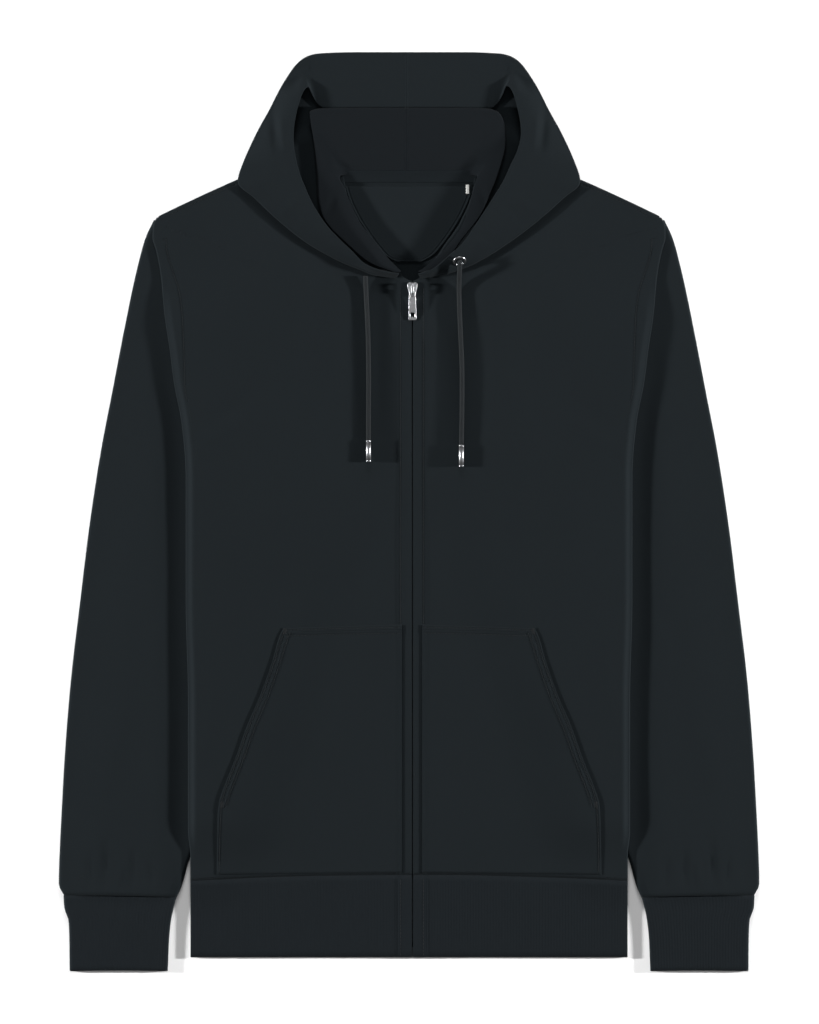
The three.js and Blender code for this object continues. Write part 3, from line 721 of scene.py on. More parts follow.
def shoulder_edge(x):
    """Upper edge of the body under the hood: the shoulders, dropping steeply toward the neck's middle."""
    return shoulder_y(x) - 1.2 * np.maximum(0, NECK_X - np.abs(x))


def hood_floor(x, y):
    """What the hood lies on: the fronts, and past the shoulders the table."""
    edge = shoulder_edge(x)
    body = np.maximum(front_top(x, np.minimum(y, edge - 1)) + 1.1, 4.6)
    return body + (0.3 - body) * smooth(y - edge, 7, 25)


def folded(rows, side, floor, bulge, creases, columns=(34, 10, 14)):
    """Rows from an open edge out to a fold, round it and back along the floor."""
    open_x, open_y, open_z, fold_at, fold_y, end_x, end_y = (rows[:, k][:, None] for k in range(7))
    span = np.hypot(fold_at - open_x, fold_y - open_y)
    dir_x, dir_y = (fold_at - open_x) / span, (fold_y - open_y) / span
    radius = np.minimum(BEND, span / 2.5)
    out_x, out_y = open_x + dir_x * (span - radius), open_y + dir_y * (span - radius)
    low = floor(side * out_x, out_y)
    share = np.linspace(0, 1, columns[0])[None, :]
    x = side * (open_x + (out_x - open_x) * share)
    y = open_y + (out_y - open_y) * share
    dome = np.sin(np.pi * share)
    z = open_z + (low + PLY - open_z) * share + bulge * np.minimum(1, span / 30) * dome
    z = z + creased(creases, x, y, side * -1) * dome**0.35
    angle = np.linspace(0, np.pi, columns[1] + 1)[None, 1:]
    push = radius * np.sin(angle)
    turn = [side * (out_x + dir_x * push), out_y + dir_y * push, low + BEND + BEND * np.cos(angle)]
    back = np.linspace(0, 1, columns[2] + 1)[None, 1:]
    under_x, under_y = side * (out_x + (end_x - out_x) * back), out_y + (end_y - out_y) * back
    under = [under_x, under_y, floor(under_x, under_y)]
    return np.concatenate([np.stack(part, 2) for part in ([x, y, z], turn, under)], 1)


def tube(name, line, radius, sides=14, ends=True):
    """A round tube along a line of points; radius is one size or one for each point."""
    line = np.asarray(line, float)
    ahead = np.gradient(line, axis=0)
    ahead /= np.linalg.norm(ahead, axis=1, keepdims=True)
    side = np.cross(ahead, (0, 0, 1.0))
    flat = np.linalg.norm(side, axis=1, keepdims=True)
    side = np.where(flat > 1e-4, side / np.maximum(flat, 1e-4), (1.0, 0, 0))
    up = np.cross(side, ahead)
    angle = np.linspace(0, 2 * np.pi, sides + 1)[:-1]
    size = np.broadcast_to(np.asarray(radius, float), (len(line),))[:, None, None]
    ring = side[:, None] * np.cos(angle)[None, :, None] + up[:, None] * np.sin(angle)[None, :, None]
    points = (line[:, None] + size * ring).reshape(-1, 3)
    r, c = np.meshgrid(np.arange(len(line) - 1), np.arange(sides), indexing="ij")
    r, c = r.ravel(), c.ravel()
    n = (c + 1) % sides
    faces = np.stack([r * sides + c, r * sides + n, (r + 1) * sides + n, (r + 1) * sides + c], 1)
    along = np.concatenate([[0], np.cumsum(np.linalg.norm(np.diff(line, axis=0), axis=1))])
    girth = 2 * np.pi * float(np.mean(size)) / sides
    corners = ((0, 0), (1, 0), (1, 1), (0, 1))
    uv = np.stack([np.stack([(c + a) * girth, along[r + b]], 1) for a, b in corners], 1)
    faces, uv = faces.tolist(), uv.reshape(-1, 2).tolist()
    if ends:
        last = (len(line) - 1) * sides
        faces += [list(range(sides))[::-1], list(range(last, last + sides))]
        uv += [[0, 0]] * (2 * sides)
    return mesh_of(name, points, faces, uv)


def joined(name, meshes):
    """One mesh from several, each kept as it is."""
    made = bpy.data.meshes.new(name)
    points, faces, uvs = [], [], []
    start = 0
    for mesh in meshes:
        co = np.empty(len(mesh.vertices) * 3)
        mesh.vertices.foreach_get("co", co)
        points.append(co.reshape(-1, 3))
        faces += [[start + v for v in polygon.vertices] for polygon in mesh.polygons]
        uv = np.empty(len(mesh.loops) * 2)
        mesh.uv_layers[0].data.foreach_get("uv", uv)
        uvs.append(uv)
        start += len(mesh.vertices)
        bpy.data.meshes.remove(mesh)
    made.from_pydata(np.concatenate(points).tolist(), [], faces)
    made.uv_layers.new(name="cloth").data.foreach_set("uv", np.concatenate(uvs))
    return made


def stitches(name, lines, pitch=3.0, gap=0.7, radius=0.24):
    """Short raised stitches along each line of points, sunk a little at both ends."""
    sides, points, faces = 6, [], []
    profile = ((0, 0.25, -0.3), (0.14, 0.8, -0.05), (0.5, 1, 0.06), (0.86, 0.8, -0.05), (1, 0.25, -0.3))
    angle = np.linspace(0, 2 * np.pi, sides + 1)[:-1]
    start = 0
    for line in lines:
        line = np.asarray(line, float)
        at = np.concatenate([[0], np.cumsum(np.linalg.norm(np.diff(line, axis=0), axis=1))])
        count = max(1, int(at[-1] / pitch))
        for k in range(count):
            s = np.array([k * at[-1] / count, k * at[-1] / count + (pitch - gap) * at[-1] / count / pitch])
            a, b = (np.array([np.interp(v, at, line[:, i]) for i in range(3)]) for v in s)
            ahead = (b - a) / np.linalg.norm(b - a)
            side = np.cross(ahead, (0, 0, 1.0))
            side /= max(np.linalg.norm(side), 1e-6)
            up = np.cross(side, ahead)
            for t, wide, high in profile:
                centre = a + (b - a) * t + up * high
                ring = np.outer(np.cos(angle), side) + np.outer(np.sin(angle), up)
                points.append(centre + ring * radius * wide)
            for r in range(len(profile) - 1):
                for c in range(sides):
                    n = (c + 1) % sides
                    i = start + r * sides
                    faces.append((i + c, i + n, i + sides + n, i + sides + c))
            faces.append(tuple(range(start + sides - 1, start - 1, -1)))
            end = start + (len(profile) - 1) * sides
            faces.append(tuple(range(end, end + sides)))
            start += len(profile) * sides
    return mesh_of(name, np.concatenate(points), faces)


def faced_out(mesh, merge=0.0):
    """Turns every face outward, after points closer than merge are made one."""
    work = bmesh.new()
    work.from_mesh(mesh)
    if merge:
        bmesh.ops.remove_doubles(work, verts=work.verts, dist=merge)
    bmesh.ops.recalc_face_normals(work, faces=work.faces)
    work.to_mesh(mesh)
    work.free()
    return mesh


def plate(name, outlines, thick, bevel, place):
    """A flat plate with rounded edges: first its rim, then its holes; place says where each point goes."""
    curve = bpy.data.curves.new(name, "CURVE")
    curve.dimensions = "2D"
    curve.fill_mode = "BOTH"
    curve.extrude = (thick / 2 - bevel) * MM
    curve.bevel_depth = bevel * MM
    curve.bevel_resolution = 3
    curve.offset = -bevel * MM
    for outline in outlines:
        spline = curve.splines.new("POLY")
        spline.points.add(len(outline) - 1)
        spline.use_cyclic_u = True
        for point, (x, y) in zip(spline.points, outline):
            point.co = (x * MM, y * MM, 0, 1)
    holder = bpy.data.objects.new(name, curve)
    bpy.context.scene.collection.objects.link(holder)
    mesh = bpy.data.meshes.new_from_object(holder.evaluated_get(bpy.context.evaluated_depsgraph_get()))
    bpy.data.objects.remove(holder)
    bpy.data.curves.remove(curve)
    co = np.empty(len(mesh.vertices) * 3)
    mesh.vertices.foreach_get("co", co)
    co = co.reshape(-1, 3) / MM
    placed = place(co[:, 0], co[:, 1], co[:, 2])
    mesh.vertices.foreach_set("co", (np.stack(placed, 1) * MM).ravel())
    while mesh.uv_layers:
        mesh.uv_layers.remove(mesh.uv_layers[0])
    mesh.uv_layers.new(name="cloth")
    mesh.materials.clear()
    return faced_out(mesh, 2e-6)


def rounded(points, radius, steps=5):
    """An outline with its corners rounded off."""
    out = []
    points = [Vector(p) for p in points]
    for i, corner in enumerate(points):
        before, after = points[i - 1] - corner, points[(i + 1) % len(points)] - corner
        cut = min(radius, before.length / 2.1, after.length / 2.1)
        a, b = corner + before.normalized() * cut, corner + after.normalized() * cut
        for k in range(steps + 1):
            t = k / steps
            out.append(tuple((1 - t) ** 2 * a + 2 * t * (1 - t) * corner + t * t * b))
    return out


def on_front(points, offset):
    """Points on top of a front, above each [x, y]."""
    points = np.asarray(points, float)
    z = front_top(points[:, 0], points[:, 1]) + offset
    return np.column_stack([points, z])


def on_pocket(points):
    """Points just above a pocket half, above each [x, y]."""
    points = np.asarray(points, float)
    return np.column_stack([points, pocket_height(points[:, 0], points[:, 1]) + 0.12])


def finely(points, step=2.0):
    """A line of [x, y] points drawn out every step."""
    points = np.asarray(points, float)
    at = np.concatenate([[0], np.cumsum(np.linalg.norm(np.diff(points, axis=0), axis=1))])
    fine = np.linspace(0, at[-1], max(2, int(at[-1] / step)))
    return np.stack([np.interp(fine, at, points[:, k]) for k in range(points.shape[1])], 1)


def beside(points, away):
    """A line kept a distance to the left of another."""
    points = finely(points)
    ahead = np.gradient(points[:, :2], axis=0)
    ahead /= np.linalg.norm(ahead, axis=1, keepdims=True)
    return np.column_stack([points[:, 0] - ahead[:, 1] * away, points[:, 1] + ahead[:, 0] * away])


def zip_line(side, away, low=-313, high=194):
    """Along a front, at a distance from the zip's edge."""
    y = np.linspace(low, high, 120)
    return np.column_stack([sidewards(side, np.full(120, ZIP_HALF + away)), y])


def armhole_line(side):
    """Along a front, just inside its armhole."""
    ys, xs = zip(*ARMHOLE)
    y = np.linspace(ys[0], ys[-1], 60)
    return np.column_stack([side * (curve_through(ys, xs, y) - 4), y])


def shoulder_line(side):
    """Along a front, just below the shoulder's edge."""
    x = np.linspace(66, 206, 60)
    return np.column_stack([side * x, shoulder_y(x) - 3])


def hem_line(side):
    """Along the seam between a front and the waistband."""
    x = sidewards(side, np.linspace(2, 184, 90))
    return np.column_stack([x, hem_y(x) + 0.2])


def outward(side, line):
    """A table line of [distance, y] on one side of the body."""
    line = np.asarray(line, float)
    return np.column_stack([sidewards(side, line[:, 0]), line[:, 1]])


CORD_ROUTES = {
    "left": [
        (-37.5, 203.2, 8.2), (-37.4, 196, 7.4), (-37, 186, 6.9), (-36.2, 170, 0), (-35.4, 150, 0),
        (-35, 128, 0), (-34.9, 106, 0), (-35, 84, 0), (-35, 62, 0),
    ],
    "right": [
        (43.8, 216.2, 13.8), (43.8, 213.6, 15.5), (43.7, 210.2, 15), (43.5, 205, 12.2), (43.3, 199, 9.1),
        (43.2, 190, 7.3), (43.6, 174, 0), (44.6, 150, 0), (45.6, 128, 0), (45.8, 104, 0), (45.6, 80, 0),
        (45.2, 58, 0),
    ],
}


def cord_line(route):
    """A smooth line through the route, kept on top of the cloth."""
    points = [Vector(p) for p in route]
    for p in points:
        p.z = max(p.z, float(front_top(p.x, p.y)) + CORD_WIDTH / 2 + CORD_REST)
    knots = [0.0]
    for a, b in zip(points, points[1:]):
        knots.append(knots[-1] + (b - a).length ** 0.5)
    line = []
    padded = [points[0] * 2 - points[1]] + points + [points[-1] * 2 - points[-2]]
    times = [2 * knots[0] - knots[1]] + knots + [2 * knots[-1] - knots[-2]]
    for i in range(1, len(padded) - 2):
        p0, p1, p2, p3 = padded[i - 1 : i + 3]
        t0, t1, t2, t3 = times[i - 1 : i + 3]
        for k in range(8):
            t = t1 + (t2 - t1) * k / 8
            a = p0 * ((t1 - t) / (t1 - t0)) + p1 * ((t - t0) / (t1 - t0))
            b = p1 * ((t2 - t) / (t2 - t1)) + p2 * ((t - t1) / (t2 - t1))
            c = p2 * ((t3 - t) / (t3 - t2)) + p3 * ((t - t2) / (t3 - t2))
            d = a * ((t2 - t) / (t2 - t0)) + b * ((t - t0) / (t2 - t0))
            e = b * ((t3 - t) / (t3 - t1)) + c * ((t - t1) / (t3 - t1))
            line.append(tuple(d * ((t2 - t) / (t2 - t1)) + e * ((t - t1) / (t2 - t1))))
    line.append(tuple(points[-1]))
    return np.array(line)


def braid_material(name, colour):
    """A round braid: two sets of strands cross over each other along the cord, with painted shade in the
    hollows between them.
    """
    shader = Shader(name, specular_ior_level=0.18, sheen_weight=0.045)
    around, along = shader.flat(0) * (2 * math.pi / 1.57), shader.flat(1) * (2 * math.pi / 2.1)
    one = (around + along).of("SINE")
    other = (around - along).of("SINE")
    strands = one.of("MAXIMUM", other) * 0.5 + 0.5
    fuzz = shader.noise(shader.place(), 700, 2)
    # Painted shade: the colour falls to half its tone between the raised strands, where the bump is low.
    shader.feed("Base Color", shader.mix(strands * 0.7 + fuzz * 0.3, tint(colour, 0.5), tint(colour, 1.25)))
    shader.feed("Roughness", fuzz * 0.15 + 0.8)
    shader.bump(strands + fuzz * 0.25, 0.00035)
    return shader.material


def woven_material(name, colour, pitch=0.7, rough=0.8):
    """A woven tape or label: yarns over and under each other, with painted shade where the weave dips."""
    shader = Shader(name, specular_ior_level=0.075)
    across, up = shader.flat(0) * (math.pi / pitch), shader.flat(1) * (math.pi / pitch)
    weave = across.of("SINE") * up.of("SINE") * 0.5 + 0.5
    dirt = shader.noise(shader.place(), 130, 3)
    # Painted shade: the weave that raises the bump also darkens the colour where it dips; the dirt noise is
    # random tone.
    shader.feed("Base Color", shader.mix(weave * 0.5 + dirt * 0.5, tint(colour, 0.8), tint(colour, 1.15)))
    shader.feed("Roughness", dirt * 0.15 + (rough - 0.07))
    shader.bump(weave, 0.0001)
    return shader.material


class HoodieColours(bpy.types.PropertyGroup):
    """Colours of the hoodie's materials, as linear light."""

    jersey: FloatVectorProperty(
        name="Jersey", description="Body, sleeves and hood", subtype="COLOR", default=(0.0049, 0.0074, 0.009)
    )
    # Inside: a darker copy of the jersey, painted shade for the recessed inside of the hood.
    inside: FloatVectorProperty(
        name="Inside", description="Inside of the hood", subtype="COLOR", default=(0.0034, 0.005, 0.0065)
    )
    rib: FloatVectorProperty(
        name="Rib", description="Cuffs and waistband", subtype="COLOR", default=(0.0045, 0.0067, 0.0085)
    )
    tape: FloatVectorProperty(
        name="Tape", description="Zip tapes and neck tape", subtype="COLOR", default=(0.0045, 0.0067, 0.0082)
    )
    cord: FloatVectorProperty(
        name="Cord", description="Drawcord", subtype="COLOR", default=(0.0056, 0.0076, 0.0089)
    )
    # Thread: the thread is real, and its being darker than the jersey is painted shade along the stitch
    # lines.
    thread: FloatVectorProperty(
        name="Thread", description="Sewing thread", subtype="COLOR", default=(0.0027, 0.0044, 0.0056)
    )
    label: FloatVectorProperty(
        name="Label", description="Bare woven label", subtype="COLOR", default=(0.5, 0.5, 0.48)
    )
    metal: FloatVectorProperty(
        name="Metal", description="Zip, eyelet and cord tips", subtype="COLOR", default=(0.245, 0.25, 0.26)
    )


class HoodieSizes(bpy.types.PropertyGroup):
    """Sizes that a user may change."""

    stitch: FloatProperty(name="Stitch", description="Length of a stitch", default=0.003, unit="LENGTH")
    thread: FloatProperty(name="Thread", description="Width of the thread", default=0.00048, unit="LENGTH")
    rib_depth: FloatProperty(name="Rib", description="Height of a rib", default=0.00009, unit="LENGTH")
    tooth: FloatProperty(name="Tooth", description="Spacing of zip teeth", default=0.0025, unit="LENGTH")
    sides: IntProperty(name="Cord sides", description="Sides of the cord's section", default=18, min=8)


def material(kind):
    """Materials are made once and shared."""
    name = f"hoodie_{kind}"
    if name in bpy.data.materials:
        return bpy.data.materials[name]
    colours = bpy.context.scene.hoodie_colours
    makers = {
        "jersey": lambda: knit_material(name, colours.jersey, True),
        # The inside is the jersey in a darker colour: painted shade.
        "inside": lambda: knit_material(name, colours.inside, True, rough=0.96),
        "rib": lambda: knit_material(name, colours.rib, False, wale=1.25, depth=0.00008),
        "tape": lambda: woven_material(name, colours.tape),
        "braid": lambda: braid_material(name, colours.cord),
        "thread": lambda: thread_material(name, colours.thread),
        "label": lambda: woven_material(name, colours.label, 0.4),
        "metal": lambda: metal_material(name, colours.metal),
        "teeth": lambda: metal_material(name, (0.022, 0.025, 0.027), 0.45),
    }
    return makers[kind]()


def sewn(name, lines):
    """An object of stitches along the lines."""
    sizes = bpy.context.scene.hoodie_sizes
    mesh = stitches(name, lines, sizes.stitch / MM, 0.75, sizes.thread / MM / 2)
    return finish(mesh, name, material("thread"))


def cloth_piece(mesh, kind, slot, node, *lies_on):
    """Finishes the piece of cloth that stands for a node; what it is cut from (slot) and what it lies on are
    not used.
    """
    made = finish(mesh, mesh.name, material(kind), nodes=[node])


class HOODIE_OT_stage(bpy.types.Operator):
    """Lay a pale floor, soft studio lights and a camera straight above"""

    bl_idname = "hoodie.stage"
    bl_label = "Stage"

    def execute(self, context):
        floor = bpy.data.meshes.new("floor")
        corners = [(x, y, FLOOR_Z) for x, y in ((-4, -4), (4, -4), (4, 4), (-4, 4))]
        floor.from_pydata(corners, [], [(0, 1, 2, 3)])
        laid = bpy.data.objects.new("floor", floor)
        shader = Shader("floor", specular_ior_level=0.1)
        grain = shader.noise(shader.place(), 30, 3)
        shader.feed("Base Color", shader.mix(grain, (0.9, 0.9, 0.9, 1), (0.92, 0.92, 0.92, 1)))
        shader.feed("Roughness", grain * 0.1 + 0.85)
        floor.materials.append(shader.material)
        context.scene.collection.objects.link(laid)
        lamps = (
            ("left", (-3.9, 0.1, 1.06), 0.3, 356),
            ("right", (3.9, 0.1, 1.06), 0.3, 356),
            ("top", (0, 3.6, 1.7), 1.2, 75),
        )
        for name, place, size, power in lamps:
            light = bpy.data.lights.new(name, "AREA")
            light.shape = "DISK"
            light.size = size
            light.energy = power
            lamp = bpy.data.objects.new(name, light)
            lamp.location = place
            lamp.rotation_euler = (Vector((0, 0, 0)) - Vector(place)).to_track_quat("-Z", "Y").to_euler()
            context.scene.collection.objects.link(lamp)
        world = bpy.data.worlds.new("studio")
        world.use_nodes = True
        tree = world.node_tree
        toward = tree.nodes.new("ShaderNodeTexCoord")
        parts = tree.nodes.new("ShaderNodeSeparateXYZ")
        fade = tree.nodes.new("ShaderNodeMapRange")
        fade.interpolation_type = "SMOOTHSTEP"
        for key, value in (("From Min", 0.84), ("From Max", 0.95), ("To Min", 0.082), ("To Max", 1.02)):
            fade.inputs[key].default_value = value
        tree.links.new(toward.outputs["Generated"], parts.inputs[0])
        tree.links.new(parts.outputs[2], fade.inputs[0])
        tree.links.new(fade.outputs[0], tree.nodes["Background"].inputs["Strength"])
        tree.nodes["Background"].inputs["Color"].default_value = (1, 1, 1, 1)
        context.scene.world = world
        lens = bpy.data.cameras.new("camera")
        lens.sensor_fit = "VERTICAL"
        lens.sensor_height = 24
        lens.lens = 162.6
        camera = bpy.data.objects.new("camera", lens)
        camera.location = (0.0004, -0.0004, 6)
        context.scene.collection.objects.link(camera)
        context.scene.camera = camera
        context.scene.view_settings.view_transform = "Standard"
        return {"FINISHED"}


class HOODIE_OT_cords(bpy.types.Operator):
    """Make the drawcord's two free ends and their metal tips"""

    bl_idname = "hoodie.cords"
    bl_label = "Drawcord"

    def execute(self, context):
        half = TIP_WIDTH / 2
        profile = (
            (0, half - 0.9), (0, half - 0.2), (0.35, half), (1.1, half), (1.3, half - 0.18),
            (1.6, half - 0.18), (1.8, half), (9, half), (17.2, half), (17.4, half - 0.18),
            (17.7, half - 0.18), (17.9, half), (18.6, half), (18.95, half - 0.35), (TIP_LENGTH, half - 0.9),
        )
        for name, _ in SIDES:
            line = cord_line(CORD_ROUTES[name])
            mesh = tube(f"drawcord_{name}", line, CORD_WIDTH / 2, context.scene.hoodie_sizes.sides)
            cord = finish(mesh, f"drawcord_{name}", material("braid"), nodes=[f"cord_{name}"])
            x, y, z = line[-1]
            z += (TIP_WIDTH - CORD_WIDTH) / 2
            run = [(x, y - SEAM_GAP - past, z) for past, _ in profile]
            for i in range(1, len(run)):
                if run[i][1] >= run[i - 1][1]:
                    run[i] = (x, run[i - 1][1] - 0.02, z)
            tip = tube(f"cord_tip_{name}", run, [size for _, size in profile], 32)
            tip = finish(tip, f"cord_tip_{name}", material("metal"), nodes=[f"tip_{name}"])
        return {"FINISHED"}


class HOODIE_OT_body(bpy.types.Operator):
    """Make the two fronts and the back"""

    bl_idname = "hoodie.body"
    bl_label = "Fronts and back"

    def execute(self, context):
        for name, side in SIDES:
            grid = front_grid(side)
            x, y = grid[..., 0], grid[..., 1]
            lines = [zip_line(side, 9)[::12], armhole_line(side)[::5]]
            lines += [shoulder_line(side)[::8], hem_line(side)[::9]]
            upper = np.arange(grid.shape[1]) < 90
            seam = np.where(upper[None, :], distances(x, y, lines), FAR)
            mesh = wall(f"jersey_front_{name}", grid, CLOTH, side, seam=seam)
            cloth_piece(mesh, "jersey", "knit", f"front_{name}", "jersey_back", f"jersey_sleeve_{name}")
        mesh = wall("jersey_back", back_grid(), CLOTH, -1)
        cloth_piece(mesh, "jersey", "knit", "back", "floor")
        return {"FINISHED"}


class HOODIE_OT_sleeves(bpy.types.Operator):
    """Make the two sleeves, folded behind the body"""

    bl_idname = "hoodie.sleeves"
    bl_label = "Sleeves"

    def execute(self, context):
        for name, side in SIDES:
            rows = drawn_out(SLEEVE, 160)
            creases = SLEEVE_CREASES if side < 0 else mirrored(SLEEVE_CREASES)
            grid = flattened(rows, side, 48, 9, swell=SLEEVE_SWELL, creases=creases)
            seam = -331 - grid[..., 1]
            mesh = wall(f"jersey_sleeve_{name}", grid, CLOTH, side, ring=True, seam=seam)
            cloth_piece(mesh, "jersey", "knit", f"sleeve_{name}", "floor")
        return {"FINISHED"}


class HOODIE_OT_ribs(bpy.types.Operator):
    """Make the ribbed cuffs and waistband"""

    bl_idname = "hoodie.ribs"
    bl_label = "Cuffs and waistband"

    def execute(self, context):
        depth = context.scene.hoodie_sizes.rib_depth / MM
        for name, side in SIDES:
            grid = flattened(drawn_out(CUFF, 18), side, 220, 8, rib=depth, ribs=72, swell=CUFF_SWELL)
            mesh = wall(f"rib_cuff_{name}", grid, CLOTH, side, ring=True)
            cloth_piece(mesh, "rib", "rib", f"cuff_{name}", "floor")
        mesh = wall("rib_waistband", band_grid(), CLOTH, -1)
        cloth_piece(mesh, "rib", "rib", "waistband", "floor")
        return {"FINISHED"}


class HOODIE_OT_pockets(bpy.types.Operator):
    """Make the two pocket halves, with their turned and stitched edges"""

    bl_idname = "hoodie.pockets"
    bl_label = "Pockets"

    def execute(self, context):
        for name, side in SIDES:
            grid = pocket_grid(side)
            opening, along = outward(side, OPENING), outward(side, POCKET_SIDE)
            top = outward(side, [(10, -98.4), (60, -99.4), (107, -101)])
            edges = [beside(opening, side * -1.6), beside(opening, side * -6.6), beside(along, side * -2)]
            edges += [beside(top, side * -1.6), beside(top, side * -6.6)]
            seam = distances(grid[..., 0], grid[..., 1], [edge[::6] for edge in edges])
            mesh = wall(f"jersey_pocket_{name}", grid, POCKET_WALL, side, seam=seam)
            cloth_piece(mesh, "jersey", "knit", f"pocket_{name}", f"jersey_front_{name}")
            tacks = []
            for x, y in ((163.2, -253), (109, -103)):
                for k in range(7):
                    at = [(x - 3.4, y + 0.7 * k - 2), (x - 0.2, y + 0.7 * k - 2.3)]
                    tacks.append(on_pocket(outward(side, at)))
            sewn(f"pocket_stitches_{name}", [on_pocket(edge) for edge in edges])
            mesh = stitches(f"pocket_tacks_{name}", tacks, 3.2, 0.2, 0.3)
            finish(mesh, mesh.name, material("thread"))
        return {"FINISHED"}


class HOODIE_OT_hood(bpy.types.Operator):
    """Make the hood's outer halves, folded down behind the neck"""

    bl_idname = "hoodie.hood"
    bl_label = "Hood"

    def execute(self, context):
        for name, side in SIDES:
            grid = folded(drawn_out(HOOD[name], 190), side, hood_floor, 1.2, HOOD_CREASES)
            middle = arc(grid, 0)
            seam = np.where(np.arange(grid.shape[1]) < 34, middle - middle[-1:], FAR) + 0.6
            mesh = wall(f"hood_outside_{name}", grid, CLOTH, side, seam=seam)
            cloth_piece(mesh, "jersey", "knit", f"hood_{name}", f"jersey_front_{name}", "floor")
        return {"FINISHED"}


class HOODIE_OT_lining(bpy.types.Operator):
    """Make the inside of the hood, from the neckline up to the collar's fold"""

    bl_idname = "hoodie.lining"
    bl_label = "Inside of the hood"

    def execute(self, context):
        rises = {"left": LINING_CREASES, "right": LINING_CREASES[::2]}
        for name, side in SIDES:
            low = drawn_out(LINING[name], 150)
            rows = np.delete(low, 5, axis=1)
            floor = low[:, 5][:, None]
            grid = folded(rows, side, lambda x, y: floor + 0 * x, 0.3, rises[name], (34, 10, 8))
            middle = arc(grid, 0)
            mesh = wall(f"hood_inside_{name}", grid, CLOTH, side, seam=middle - middle[-1:] + 0.6)
            # The darker inside material paints shade on the hood's inside.
            cloth_piece(mesh, "inside", "inside", f"hood_lining_{name}", f"hood_outside_{name}")
        return {"FINISHED"}


class HOODIE_OT_neck(bpy.types.Operator):
    """Make the half-moon patch inside the back neck, its tape and the bare label"""

    bl_idname = "hoodie.neck"
    bl_label = "Neck patch, tape and label"

    def execute(self, context):
        rows = [(281, 56), (270, 52.5), (257, 46.5), (243, 38), (230, 28.5), (221, 20), (216, 11)][::-1]
        ys, halves = zip(*rows)
        y = np.linspace(216, 281, 60)[:, None]
        half = curve_through(ys, halves, y)
        across = np.linspace(-1, 1, 70)[None, :]
        x = across * half
        edge = np.minimum(half * (1 - np.abs(across)), y - 215)
        z = 2.4 + 0.1 * (1 - smooth(edge, 3.5, 4.6)) * smooth(edge, 0, 0.8) + 0.3 * settle(x, y)
        mesh = wall("neck_patch", spread(x, y, z), PATCH_WALL, 1, seam=edge - 2.6)
        cloth_piece(mesh, "jersey", "knit", "back_patch", "jersey_back")
        y = np.linspace(284.5, 294.5, 14)[:, None]
        z = curve_through((284.5, 290, 294.5), (3, 3.4, 4.2), y)
        x = np.linspace(-59, 60, 80)[None, :]
        grid = spread(x, y, z)
        mesh = wall("neck_strip", grid, PATCH_WALL, 1, seam=5 - np.abs(grid[..., 1] - 289.5) - 1.2)
        cloth_piece(mesh, "tape", "tape", "neck_tape", "jersey_back")
        x = 50.6 + np.linspace(-1.3, 1.3, 8)[None, :]
        y = 278.6 + np.linspace(-3.8, 3.8, 16)[:, None]
        mesh = wall("bare_label", spread(x, y, 3.35 + 0.05 * np.sin(y)), 0.7, 1)
        finish(mesh, "bare_label", material("label"), nodes=["label"])
        return {"FINISHED"}


def tooth(side, y):
    """One tooth of the zip: a block on its tape, with a smaller crown that reaches past the middle."""
    near, far, head = ZIP_X - side * 0.35, ZIP_X + side * 1.5, TOOTH_HALF
    outline = [(near, y - head), (near, y + head), (far, y + head * 0.7), (far, y - head * 0.7)]
    inner = [(near + side * 0.15, y - head * 0.6), (near + side * 0.15, y + head * 0.6)]
    inner += [(far - side * 0.15, y + head * 0.4), (far - side * 0.15, y - head * 0.4)]
    rings = ((outline, TOOTH_LOW), (outline, TOOTH_HIGH - 0.3), (inner, TOOTH_HIGH))
    points = [(*p, z) for ring, z in rings for p in ring]
    walls = [(s, a, (a + 1) % 4) for s in (0, 4) for a in range(4)]
    faces = [(s + a, s + b, s + b + 4, s + a + 4) for s, a, b in walls] + [(3, 2, 1, 0), (8, 9, 10, 11)]
    if side > 0:
        faces = [face[::-1] for face in faces]
    return mesh_of("tooth", points, faces)


